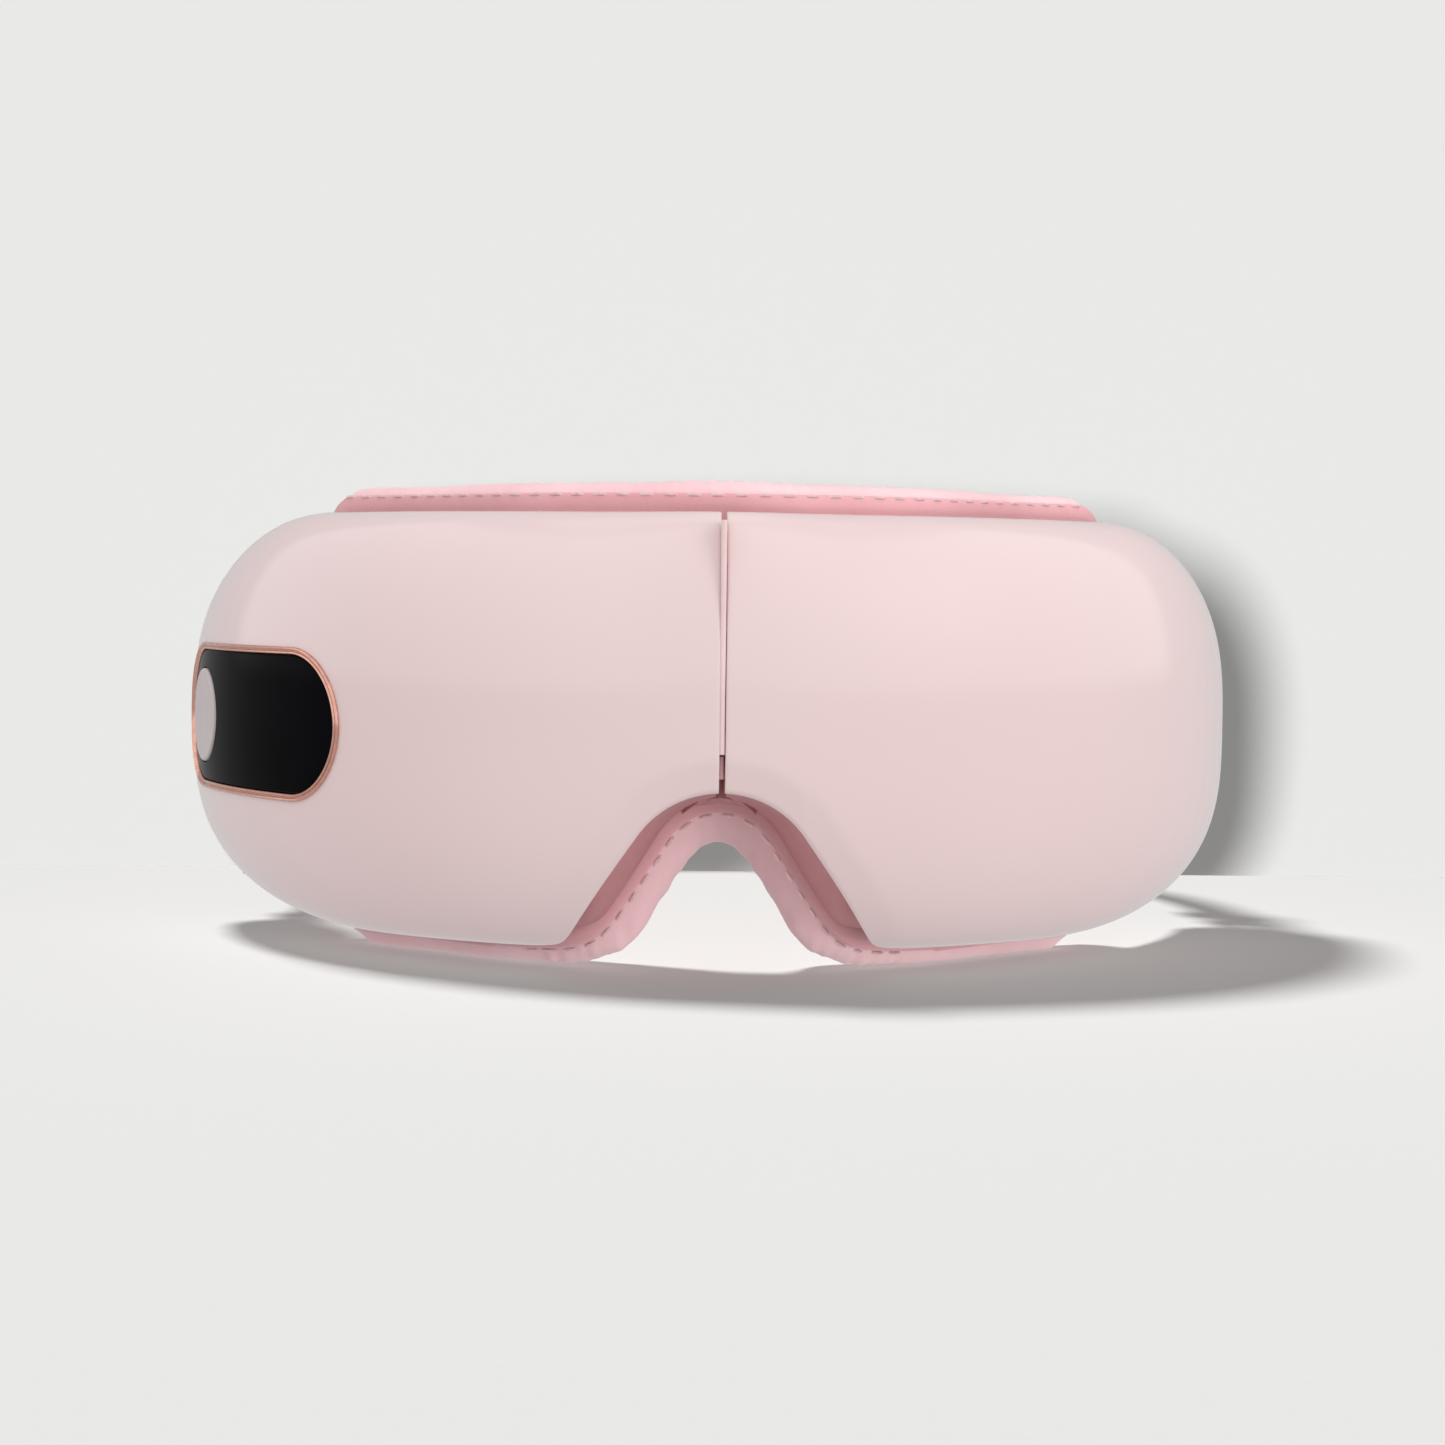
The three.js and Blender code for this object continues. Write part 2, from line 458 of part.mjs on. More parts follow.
function padLayer(columns, insets, front, back, backInsets = insets) {
  const face = (edges, depthAt) => (a, t) => [a, between(padEdges(a, ...edges), t), depthAt(a)];
  return bentSlab(columns, [0, 1], face(insets, front), face(backInsets, back));
}
for (const side of [-1, 1]) {
  const name = sideName(side);
  const frame = padLayer(sided(side, frameColumns), [4, 4, 6.5, 4], (a) => backDepth(a) + PAD_GAP, frameBack);
  let ring = cut(frame, eyeHole(side, 1.5), foldRoom(side, 0));
  for (const spot of SCREW_SPOTS.slice(0, 3)) {
    ring = ring.subtract(cylinder(3.1, 12, screwSeat(side, spot, backDepth(spot[0])), 12));
  }
  addPart(`pad_frame_${name}`, ring, mattePink());
  const pad = padLayer(sided(side, padColumns), PAD_FRONT_INSETS, padFront, padDepth, PAD_BACK_INSETS);
  addPart(`face_pad_${name}`, cut(pad, eyeHole(side, 0), foldRoom(side, 0)), leatherPink());

  const eyePlate = (inset, from, thick) => bentPlate(side * EYE_A, EYE_Z, EYE_RA - inset, EYE_RZ - inset,
    (a) => backDepth(a) + from, (a) => backDepth(a) + from + thick);
  const nipple = cylinder(1, 3, inDepth(seat(side * EYE_A, EYE_Z, backDepth(EYE_A) + 2)), 10);
  addPart(`air_cell_${name}`, cut(eyePlate(3, 2, 2.6), nipple), paleRubber());
  addPart(`massage_plate_${name}`, eyePlate(2.4, 5, 1.2), blackPlastic());
  addPart(`heating_film_${name}`, eyePlate(2.6, 6.6, 0.4), finish(0xb87333, 0.4));
  addPart(`eye_cushion_${name}`, eyePlate(1.8, 7.4, 3), leatherPink());
  const templePad = bentPlate(side * 133, STRAP_Z, 17, 17,
    (a) => backDepth(a) + PAD_GAP, (a) => backDepth(a) + 4.8, 4);
  addPart(`temple_pad_${name}`, templePad, leatherPink());
}
const bridgeColumns = steps(-24, 24, 16);
const bridgePad = padLayer(bridgeColumns, PAD_FRONT_INSETS, padFront, padDepth, PAD_BACK_INSETS);
addPart('nose_bridge_pad', cut(bridgePad.intersect(foldWedge), eyeHole(-1, 0), eyeHole(1, 0)), leatherPink());
const gussetFace = (reach, depthAt) => (a, t) => {
  const z = between(shellEdges(a, -WALL - TRAY_CLEAR, reach), t);
  return [a, z, depthAt(a, z)];
};
const gusset = bentSlab(bridgeColumns, rimRows(6),
  gussetFace(-CLEAR, (a, z) => max(HINGE_Y + BARREL_R + 1, innerDepth(a, z) + TRAY_CLEAR)),
  gussetFace(TRAY_REACH, frameBack));
addPart('bridge_gusset', cut(gusset.intersect(foldWedge), crossing), mattePink());

// ---------------------------------------------------------------- strap
const strapZ = DATUM_Z + STRAP_Z;
const BAR_Z = STRAP_WIDTH / 2 + 1.1;
function strapAnchor(side) {
  const armA = (TAB.a - 4 + STRAP_BAR_A + BAR_R) / 2;
  const armLength = STRAP_BAR_A + BAR_R - TAB.a + 4;
  const arm = (up) => box(armLength, 2.4, 2, seat(side * armA, STRAP_Z + up * (BAR_Z + 0.4), STRAP_BAR_DEPTH));
  const web = box(7, 2.4, 2 * BAR_Z + 2.8, seat(side * TAB.a, STRAP_Z, STRAP_BAR_DEPTH));
  const bar = cylinder(BAR_R, 2 * BAR_Z + 1, at(side * BAR_X, FRONT_Y + BAR_Y, strapZ), 16);
  return joined(arm(1), arm(-1), web, bar);
}

// Centre line of one strap half, from its temple bar to x = endX at the back.
const STRAP_STEPS = 16;
function strapLine(side, endX) {
  const start = new THREE.Vector2(BAR_X, BAR_Y);
  const back = new THREE.Vector2(endX, STRAP_BACK_Y);
  const line = new THREE.CubicBezierCurve(start, start.clone().add(new THREE.Vector2(-1.5, 62)),
    back.clone().add(new THREE.Vector2(58, 0)), back);
  return line.getSpacedPoints(STRAP_STEPS).map((p, i) => {
    const t = line.getTangentAt(i / STRAP_STEPS);
    return { x: side * p.x, y: FRONT_Y + p.y, nx: side * t.y, ny: -t.x };
  });
}
function strapHalf(side, endX) {
  const line = strapLine(side, endX);
  const half = STRAP_THICK / 2;
  const outline = [...line.map((p) => [p.x + half * p.nx, p.y + half * p.ny]),
    ...line.slice().reverse().map((p) => [p.x - half * p.nx, p.y - half * p.ny])];
  const band = outlinePrism(side > 0 ? outline : outline.reverse(), STRAP_WIDTH, strapZ - STRAP_WIDTH / 2);
  const ends = [at(side * BAR_X, FRONT_Y + BAR_Y, strapZ), at(side * endX, FRONT_Y + STRAP_BACK_Y, strapZ)];
  const loops = ends.map((end) => cylinder(LOOP_R, STRAP_WIDTH, end, 20));
  return cut(joined(band, ...loops), ...ends.map((end) => cylinder(BAR_R + 0.5, 60, end, 16)));
}
const BUCKLE_BAR_X = 13;
function strapBuckle() {
  const barPiece = (x) => cylinder(BAR_R, 2 * BAR_Z + 1, at(x, FRONT_Y + STRAP_BACK_Y, strapZ), 16);
  const rail = (up) => box(BUCKLE_BAR_X + 2 * BAR_R, 3, 2,
    at(BUCKLE_BAR_X / 2, FRONT_Y + STRAP_BACK_Y, strapZ + up * (BAR_Z + 0.4)));
  return joined(barPiece(0), barPiece(BUCKLE_BAR_X), rail(1), rail(-1));
}
addPart('strap_left', strapHalf(-1, 0), finish(0xd9b9bb, 0.85));
addPart('strap_right', strapHalf(1, BUCKLE_BAR_X), finish(0xd9b9bb, 0.85));
addPart('strap_buckle', strapBuckle(), mattePink());
for (const side of [-1, 1]) addPart(`strap_anchor_${sideName(side)}`, strapAnchor(side), mattePink());
const keeperSeat = at(BAR_X - 0.75, FRONT_Y + BAR_Y + 12, strapZ);
const keeper = cut(box(7.2, 9, STRAP_WIDTH + 4, keeperSeat),
  box(STRAP_THICK + 2.1, 20, STRAP_WIDTH + 0.8, keeperSeat));
addPart('strap_keeper', keeper, mattePink());

export default mask;
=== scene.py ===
import json
import math

import bmesh
import bpy
import numpy as np
from mathutils import Matrix, Vector
from mathutils.bvhtree import BVHTree


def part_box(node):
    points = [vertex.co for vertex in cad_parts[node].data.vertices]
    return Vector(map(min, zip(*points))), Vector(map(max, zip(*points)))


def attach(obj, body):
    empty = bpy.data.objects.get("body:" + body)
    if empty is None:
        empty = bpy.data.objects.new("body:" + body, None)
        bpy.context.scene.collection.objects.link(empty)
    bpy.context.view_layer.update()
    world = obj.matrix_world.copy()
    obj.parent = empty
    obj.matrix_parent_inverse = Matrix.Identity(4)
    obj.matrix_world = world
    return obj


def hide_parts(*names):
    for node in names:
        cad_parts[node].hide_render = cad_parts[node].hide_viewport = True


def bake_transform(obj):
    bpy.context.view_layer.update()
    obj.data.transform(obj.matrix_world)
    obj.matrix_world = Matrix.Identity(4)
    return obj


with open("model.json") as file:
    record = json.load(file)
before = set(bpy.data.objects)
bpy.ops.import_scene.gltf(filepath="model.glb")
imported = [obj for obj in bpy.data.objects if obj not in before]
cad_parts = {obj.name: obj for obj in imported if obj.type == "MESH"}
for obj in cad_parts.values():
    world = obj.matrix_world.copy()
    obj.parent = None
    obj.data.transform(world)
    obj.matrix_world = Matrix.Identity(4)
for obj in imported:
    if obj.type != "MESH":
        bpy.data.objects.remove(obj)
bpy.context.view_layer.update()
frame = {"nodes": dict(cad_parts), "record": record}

nodes = frame["nodes"]
scene = bpy.context.scene
MM = 0.001

# ---- the mask's surface
# All in mm, except where a name says otherwise. A point of the mask is given by its arc length a along the plan
# curve, its height z over the datum, and its depth inward from the front.
PLAN_HANDLES = [(0, 0), (72.4, 0), (105.8, 62), (104.6, 99)]
TOP, BOTTOM, TEMPLE_TOP, TEMPLE_BOTTOM = 40.6, 36.1, 30.3, 27.5
TOP_FALLS_AT, BOTTOM_FALLS_AT, TEMPLE_A, END_A = 92, 73, 143.5, 159
GAP, WALL, CLEAR, TRAY_CLEAR = 1.0, 2.0, 0.3, 1.3
CROWN, CROWN_AT_FOLD, CROWN_BLEND = 13, 8, 14
ARCH_TOP, ARCH_RADIUS, ARCH_SLOPE = -7.7, 18, math.radians(54)
HINGE_DEPTH, FOLD_HALF = 7.5, math.radians(38)
BACK_DEPTH, BACK_BULGE, PAD_DEPTH, PAD_BULGE, PAD_GAP = 15, 6, 27, 5, 2.3
PAD_TOP, PAD_RISE, PAD_END_A, PAD_ARCH, PAD_ARCH_CORNER = 46.8, 0.5, 110, 10.5, 7
PAD_TOP_FALLS_AT, PAD_TOP_DROP, PAD_BOTTOM_FALLS_AT, PAD_BOTTOM_DROP = 97, 13, 93, 14
EYE_A, EYE_Z, EYE_RA, EYE_RZ = 45, 4.5, 17.8, 20
STRAP_Z, STRAP_WIDTH, STRAP_THICK = 1.4, 25, 2.2
TEMPLE_PAD_A = 133
FRONT_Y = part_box("front_shell_right")[0].y / MM
DATUM_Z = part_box("front_shell_right")[1].z / MM - TOP


def bezier(handles, count):
    handles, t = np.array(handles, float), np.linspace(0, 1, count)[:, None]
    return sum(c * (1 - t) ** (3 - i) * t ** i * handles[i] for i, c in enumerate((1, 3, 3, 1)))


def run_along(points):
    return np.concatenate([[0], np.cumsum(np.linalg.norm(np.diff(points, axis=0), axis=1))])


CURVE = bezier(PLAN_HANDLES, 8001)
RUN = run_along(CURVE)
SLOPE = np.gradient(CURVE, axis=0)
TURN = np.arctan2(SLOPE[:, 1], SLOPE[:, 0])


def plan(a):
    """Plan position and heading at arc length a; past the curve's end it goes straight on."""
    run = np.minimum(a, RUN[-1])
    turn = np.interp(run, RUN, TURN)
    return (np.interp(run, RUN, CURVE[:, 0]) + (a - run) * np.cos(turn),
            np.interp(run, RUN, CURVE[:, 1]) + (a - run) * np.sin(turn), turn)


def place(a, z, depth):
    """Points of the row frame, in metres, from arc length, height and depth in mm."""
    a, z, depth = np.broadcast_arrays(np.asarray(a, float), z, depth)
    x, y, turn = plan(np.abs(a))
    side = np.where(a < 0, -1.0, 1.0)
    return MM * np.stack([side * (x - depth * np.sin(turn)), FRONT_Y + y + depth * np.cos(turn), DATUM_Z + z], -1)


def inward_mm(a, z):
    """One millimetre of depth at a point of the mask, as a vector in metres."""
    return place(np.array([float(a)]), z, 30.0)[0] - place(np.array([float(a)]), z, 29.0)[0]


def angles(count):
    return np.linspace(0, 2 * math.pi, count, endpoint=False)


def bulge(a, centre, spread):
    return np.exp(-(((np.abs(a) - centre) / spread) ** 2))


def eased_fall(a, start, full, end):
    return end + (full - end) * np.cos(math.pi / 2 * np.clip((np.abs(a) - start) / (TEMPLE_A - start), 0, 1))


def top_height(a):
    return eased_fall(a, TOP_FALLS_AT, TOP, TEMPLE_TOP)


def bottom_height(a):
    return eased_fall(a, BOTTOM_FALLS_AT, BOTTOM, TEMPLE_BOTTOM)


def end_ratio(a, grow):
    """0 up to the temple, rising to 1 at the shell's rounded end."""
    return np.clip((np.abs(a) - TEMPLE_A) / (END_A + grow - TEMPLE_A), 0, 0.9995)


def arch_z(a, reach):
    """Height of the nose arch: a round top with straight legs, lowered by reach."""
    radius, centre = ARCH_RADIUS - reach, ARCH_TOP - ARCH_RADIUS
    leg = radius * math.sin(ARCH_SLOPE)
    a = np.abs(a)
    bow = centre + np.sqrt(np.maximum(radius ** 2 - np.minimum(a, leg) ** 2, 0))
    return np.where(a <= leg, bow, centre + radius * math.cos(ARCH_SLOPE) - (a - leg) * math.tan(ARCH_SLOPE))


def blend_max(p, q, corner):
    """The larger of two values, with a rounded corner where they cross."""
    return (p + q + np.hypot(p - q, corner)) / 2


def shell_edges(a, grow, reach, corner=3.0):
    """Lower and upper edge of the shell; grow moves the outer rim, reach the nose arch."""
    end = np.sqrt(1 - end_ratio(a, grow) ** 2)
    floor = -(bottom_height(a) + grow) * end
    low = np.where(np.abs(a) < 60, blend_max(arch_z(a, reach), floor, corner), floor)
    return low, (top_height(a) + grow) * end


def face_depth(a, z, grow=0.0):
    """Depth of the shell's crowned face, which curls back toward its rim."""
    height = np.where(z > 0, top_height(a), bottom_height(a)) + grow
    rim = np.minimum(1, np.hypot(z / height, end_ratio(a, grow)))
    crown = CROWN - (CROWN - CROWN_AT_FOLD) * bulge(a, 0, CROWN_BLEND)
    return crown * (1 - np.sqrt(1 - rim ** 3))


def back_depth(a):
    return BACK_DEPTH + BACK_BULGE * bulge(a, 74, 32) + np.clip((np.abs(a) - 110) / 50, 0, 1)


def pad_front(a):
    return back_depth(a) + PAD_GAP


def pad_depth(a):
    return PAD_DEPTH + PAD_BULGE * bulge(a, 62, 30)


def pad_rise(a):
    return PAD_RISE * bulge(a, 0, 20)


def fall_to_end(a, start, drop, inset):
    """The round corner at the pad's end: 0 up to start, drop at the end."""
    u = np.clip((np.abs(a) - start) / (PAD_END_A - inset + 0.5 - start), 0, 1)
    return drop * (1 - np.sqrt(1 - u * u))


def pad_edges(a, top=0.0, bottom=0.0, arch=0.0, end=0.0):
    """Lower and upper edge of the face pad, drawn in by an inset on each of its sides."""
    high = PAD_TOP + pad_rise(a) - top - fall_to_end(a, PAD_TOP_FALLS_AT, PAD_TOP_DROP, end)
    floor = -DATUM_Z + bottom + fall_to_end(a, PAD_BOTTOM_FALLS_AT, PAD_BOTTOM_DROP, end)
    low = np.where(np.abs(a) < 50, blend_max(arch_z(a, PAD_ARCH - arch), floor, PAD_ARCH_CORNER), floor)
    return low, high


# ---- mesh helpers
def linked(name, data):
    obj = bpy.data.objects.new(name, data)
    scene.collection.objects.link(obj)
    return obj


def new_object(name, verts, faces, material=None, sharp=40):
    mesh = bpy.data.meshes.new(name)
    mesh.from_pydata([tuple(v) for v in verts], [], faces)
    obj = linked(name, mesh)
    tidy_mesh(obj, sharp)
    if material:
        mesh.materials.append(material)
    return obj


def tidy_mesh(obj, sharp):
    bm = bmesh.new()
    bm.from_mesh(obj.data)
    bmesh.ops.remove_doubles(bm, verts=bm.verts, dist=1e-6)
    bmesh.ops.recalc_face_normals(bm, faces=bm.faces)
    bm.to_mesh(obj.data)
    bm.free()
    obj.data.shade_smooth()
    obj.data.set_sharp_from_angle(angle=math.radians(sharp))


def stack(name, grids, material=None, sharp=40):
    """A closed body through grids of points: caps on the first and last, walls round the ones between."""
    nc, nr = grids[0].shape[:2]
    loop = ([(i, 0) for i in range(nc)] + [(nc - 1, j) for j in range(1, nr)]
            + [(i, nr - 1) for i in range(nc - 2, -1, -1)] + [(0, j) for j in range(nr - 2, 0, -1)])
    verts, rings, faces, base = [], [], [], 0
    for k, grid in enumerate(grids):
        if k in (0, len(grids) - 1):
            verts.append(grid.reshape(-1, 3))
            rings.append([base + i * nr + j for i, j in loop])
            faces += [(p, p + nr, p + nr + 1, p + 1)
                      for p in (base + i * nr + j for i in range(nc - 1) for j in range(nr - 1))]
            base += nc * nr
        else:
            verts.append(np.array([grid[i, j] for i, j in loop]))
            rings.append(list(range(base, base + len(loop))))
            base += len(loop)
    for lower, upper in zip(rings, rings[1:]):
        n = len(lower)
        faces += [(lower[i], lower[(i + 1) % n], upper[(i + 1) % n], upper[i]) for i in range(n)]
    return new_object(name, np.concatenate(verts), faces, material, sharp)


def rim_rows(count):
    """Steps from 0 to 1 that crowd toward both ends."""
    return (1 + np.sin(np.linspace(-1, 1, count) * math.pi / 2)) / 2


def sweep(name, rings, material=None, closed=False, sharp=40):
    """A tube through rings of points, each (n, 3); open tubes get flat ends."""
    m, n = len(rings), len(rings[0])
    faces = [(i * n + j, ((i + 1) % m) * n + j, ((i + 1) % m) * n + (j + 1) % n, i * n + (j + 1) % n)
             for i in range(m if closed else m - 1) for j in range(n)]
    if not closed:
        faces += [tuple(range(n)), tuple((m - 1) * n + j for j in range(n))]
    return new_object(name, np.concatenate(rings), faces, material, sharp)


def tube_rings(points, radius, count=10):
    """Rings for a round tube along a closed line of points."""
    points = [Vector(p) for p in points]
    rings = []
    for i, p in enumerate(points):
        t = (points[(i + 1) % len(points)] - points[i - 1]).normalized()
        side = t.cross(Vector((0, 0, 1)))
        if side.length < 1e-3:
            side = t.cross(Vector((0, 1, 0)))
        side.normalize()
        other = t.cross(side)
        rings.append(np.array([p + radius * (math.cos(u) * side + math.sin(u) * other)
                               for u in angles(count)]))
    return rings


def merge(name, objs):
    bpy.ops.object.select_all(action="DESELECT")
    for o in objs:
        o.select_set(True)
    bpy.context.view_layer.objects.active = objs[0]
    bpy.ops.object.join()
    objs[0].name = name
    objs[0].data.name = name
    return objs[0]


def apply_modifiers(obj):
    dg = bpy.context.evaluated_depsgraph_get()
    mesh = bpy.data.meshes.new_from_object(obj.evaluated_get(dg), depsgraph=dg)
    obj.modifiers.clear()
    old = obj.data
    obj.data = mesh
    bpy.data.meshes.remove(old)


def cut(obj, tool):
    mod = obj.modifiers.new("cut", "BOOLEAN")
    mod.operation, mod.solver, mod.object = "DIFFERENCE", "EXACT", tool
    apply_modifiers(obj)
    bpy.data.objects.remove(tool)


def coords(obj):
    co = np.empty(len(obj.data.vertices) * 3)
    obj.data.vertices.foreach_get("co", co)
    return co.reshape(-1, 3)


def set_coords(obj, co):
    obj.data.vertices.foreach_set("co", co.ravel())
    obj.data.update()


PRESSURE, CLOTH_QUALITY, CLOTH_FRAMES = 4.0, 5, 20


def inflate(obj, voxel, cap, levels=2):
    """Fills a padded piece: voxel remesh, cloth under pressure, capped travel, subdivision."""
    material = obj.data.materials[0]
    mod = obj.modifiers.new("remesh", "REMESH")
    mod.mode, mod.voxel_size = "VOXEL", voxel
    apply_modifiers(obj)
    rest = coords(obj)
    cloth = obj.modifiers.new("fill", "CLOTH")
    cloth.settings.use_pressure = True
    cloth.settings.uniform_pressure_force = PRESSURE
    cloth.settings.effector_weights.gravity = 0
    cloth.settings.quality = CLOTH_QUALITY
    for f in range(1, CLOTH_FRAMES + 1):
        scene.frame_set(f)
    dg = bpy.context.evaluated_depsgraph_get()
    ev = obj.evaluated_get(dg)
    moved = np.array([v.co for v in ev.data.vertices])
    obj.modifiers.clear()
    scene.frame_set(1)
    step = moved - rest
    length = np.linalg.norm(step, axis=1, keepdims=True)
    set_coords(obj, rest + step * np.minimum(1, cap / np.maximum(length, 1e-9)))
    smooth = obj.modifiers.new("relax", "SMOOTH")
    smooth.factor, smooth.iterations = 0.5, 1
    sub = obj.modifiers.new("sub", "SUBSURF")
    sub.levels = sub.render_levels = levels
    apply_modifiers(obj)
    obj.data.materials.clear()
    obj.data.materials.append(material)
    obj.data.shade_smooth()


# ---- materials
class Look:
    """A node material with one Principled shader, built up step by step."""

    def __init__(self, name, color, roughness, **sockets):
        self.mat = bpy.data.materials.new(name)
        self.mat.use_nodes = True
        self.tree = self.mat.node_tree
        self.bsdf = self.tree.nodes["Principled BSDF"]
        self.color, self.roughness, self.height = color, roughness, None
        self.bsdf.inputs["Roughness"].default_value = roughness
        self.bsdf.inputs["Base Color"].default_value = (*color, 1)
        for key, value in sockets.items():
            self.bsdf.inputs[key.replace("_", " ")].default_value = value
        self.coords = self.tree.nodes.new("ShaderNodeTexCoord").outputs["Object"]

    def node(self, kind, **values):
        n = self.tree.nodes.new(kind)
        for key, value in values.items():
            setattr(n, key, value)
        return n

    def link(self, a, b):
        self.tree.links.new(a, b)

    def noise(self, scale, detail=3.0, stretch=(1, 1, 1)):
        n = self.node("ShaderNodeTexNoise")
        n.inputs["Scale"].default_value = scale
        n.inputs["Detail"].default_value = detail
        m = self.node("ShaderNodeMapping")
        m.inputs["Scale"].default_value = stretch
        self.link(self.coords, m.inputs["Vector"])
        self.link(m.outputs["Vector"], n.inputs["Vector"])
        return n.outputs["Fac"]

    def cells(self, scale, feature="F1"):
        n = self.node("ShaderNodeTexVoronoi", feature=feature)
        n.inputs["Scale"].default_value = scale
        self.link(self.coords, n.inputs["Vector"])
        return n.outputs["Distance"]

    def ramp(self, fac, low, high, start=0.35, end=0.65):
        n = self.node("ShaderNodeMapRange")
        n.inputs["From Min"].default_value, n.inputs["From Max"].default_value = start, end
        n.inputs["To Min"].default_value, n.inputs["To Max"].default_value = low, high
        self.link(fac, n.inputs["Value"])
        return n.outputs["Result"]

    def tint(self, fac, other, start=0.35, end=0.65):
        """Mixes the base colour toward another one."""
        n = self.node("ShaderNodeMix", data_type="RGBA")
        self.link(self.ramp(fac, 0, 1, start, end), n.inputs["Factor"])
        n.inputs["A"].default_value, n.inputs["B"].default_value = (*self.color, 1), (*other, 1)
        self.link(n.outputs["Result"], self.bsdf.inputs["Base Color"])
        return self

    def rough(self, fac, low, high):
        self.link(self.ramp(fac, low, high), self.bsdf.inputs["Roughness"])
        return self

    def bump(self, fac, strength, distance):
        n = self.node("ShaderNodeBump")
        n.inputs["Strength"].default_value = strength
        n.inputs["Distance"].default_value = distance
        self.link(fac, n.inputs["Height"])
        if self.height:
            self.link(self.height, n.inputs["Normal"])
        self.height = n.outputs["Normal"]
        self.link(self.height, self.bsdf.inputs["Normal"])
        return self


def shade(color, factor):
    return tuple(c * factor for c in color)


def moulded(name, color, roughness, **sockets):
    look = Look(name, color, roughness, **sockets)
    look.tint(look.noise(60), shade(color, 0.93)).rough(look.noise(300), roughness * 0.9, roughness * 1.12)
    return look.bump(look.noise(2600, 2), 0.12, 0.00008).mat


def metal(name, color, roughness, stretch=(1, 1, 14)):
    look = Look(name, color, roughness, Metallic=1.0)
    grain = look.noise(900, 3, stretch)
    look.tint(grain, shade(color, 0.85)).rough(grain, roughness * 0.8, roughness * 1.3)
    return look.bump(grain, 0.06, 0.00005).mat


def leather(name, color, deep, grain=1500, roughness=0.46):
    look = Look(name, color, roughness, Sheen_Weight=0.12, Sheen_Roughness=0.5)
    look.tint(look.noise(45), deep).rough(look.noise(700), roughness * 0.88, roughness * 1.15)
    look.bump(look.cells(grain), 0.16, 0.00012)
    look.bump(look.noise(260, 4), 0.22, 0.0004)
    return look.bump(look.noise(5200, 2), 0.1, 0.00006).mat


SHELL_PINK = (0.790, 0.615, 0.610)
gloss_shell = Look("gloss_shell", SHELL_PINK, 0.34, Coat_Weight=1.0, Coat_Roughness=0.035, Coat_IOR=1.5)
gloss_shell.tint(gloss_shell.noise(9, 2), (0.765, 0.585, 0.580)).rough(gloss_shell.noise(160), 0.31, 0.37)
gloss_shell = gloss_shell.bump(gloss_shell.noise(900, 1), 0.02, 0.00003).mat
housing_pink = moulded("matte_housing", (0.52, 0.205, 0.22), 0.5)
fitting_pink = moulded("fitting_pink", (0.66, 0.38, 0.39), 0.38)
hinge_pink = moulded("hinge_pink", (0.74, 0.46, 0.46), 0.33)
gusset_pink = moulded("soft_gusset", (0.50, 0.21, 0.225), 0.62, Sheen_Weight=0.1)
leather_pink = leather("face_leather", (0.735, 0.475, 0.495), (0.69, 0.415, 0.44))
piping_pink = leather("piping_leather", (0.60, 0.30, 0.32), (0.55, 0.26, 0.28), grain=2200)
cushion_pink = leather("cushion_leather", (0.745, 0.50, 0.515), (0.70, 0.45, 0.465), grain=1200, roughness=0.52)
thread_pink = Look("thread", (0.80, 0.56, 0.57), 0.6, Sheen_Weight=0.2)
thread_pink = thread_pink.tint(thread_pink.noise(900), (0.70, 0.43, 0.45)).bump(
    thread_pink.noise(2600, 2, (1, 1, 3)), 0.3, 0.0001).mat
rose_gold = metal("rose_gold", (0.74, 0.41, 0.33), 0.2, (1, 1, 1))
panel_black = Look("panel_black", (0.0012, 0.0015, 0.0016), 0.06, IOR=1.08)
panel_black = panel_black.tint(panel_black.noise(30), (0.003, 0.003, 0.004)).bump(
    panel_black.noise(900, 1), 0.01, 0.00002).mat
button_pink = moulded("button_pink", (0.56, 0.49, 0.49), 0.42)
steel = metal("steel", (0.56, 0.57, 0.59), 0.28)
weight_metal = metal("weight_metal", (0.50, 0.40, 0.22), 0.42, (1, 1, 1))
board_green = moulded("board_green", (0.02, 0.14, 0.065), 0.42)
black_plastic = moulded("black_plastic", (0.018, 0.018, 0.02), 0.45)
battery_foil = metal("battery_foil", (0.5, 0.52, 0.56), 0.36, (1, 1, 1))
heating_copper = moulded("heating_copper", (0.5, 0.2, 0.05), 0.35)
clear_rubber = moulded("clear_rubber", (0.66, 0.62, 0.60), 0.4, Transmission_Weight=0.25)


def woven(name, color, deep):
    """Webbing: bands across the strap and loose fibres."""
    look = Look(name, color, 0.8, Sheen_Weight=0.35, Sheen_Roughness=0.4)
    wave = look.node("ShaderNodeTexWave", wave_type="BANDS", bands_direction="Z")
    wave.inputs["Scale"].default_value = 190
    wave.inputs["Distortion"].default_value = 1.2
    wave.inputs["Detail Scale"].default_value = 30
    look.link(look.coords, wave.inputs["Vector"])
    look.tint(wave.outputs["Fac"], deep, 0.1, 0.9).rough(look.noise(900), 0.72, 0.9)
    look.bump(wave.outputs["Fac"], 0.35, 0.0003)
    return look.bump(look.noise(3200, 3, (1, 1, 2)), 0.35, 0.0002).mat


webbing_pink = woven("strap_webbing", (0.66, 0.41, 0.43), (0.55, 0.31, 0.33))

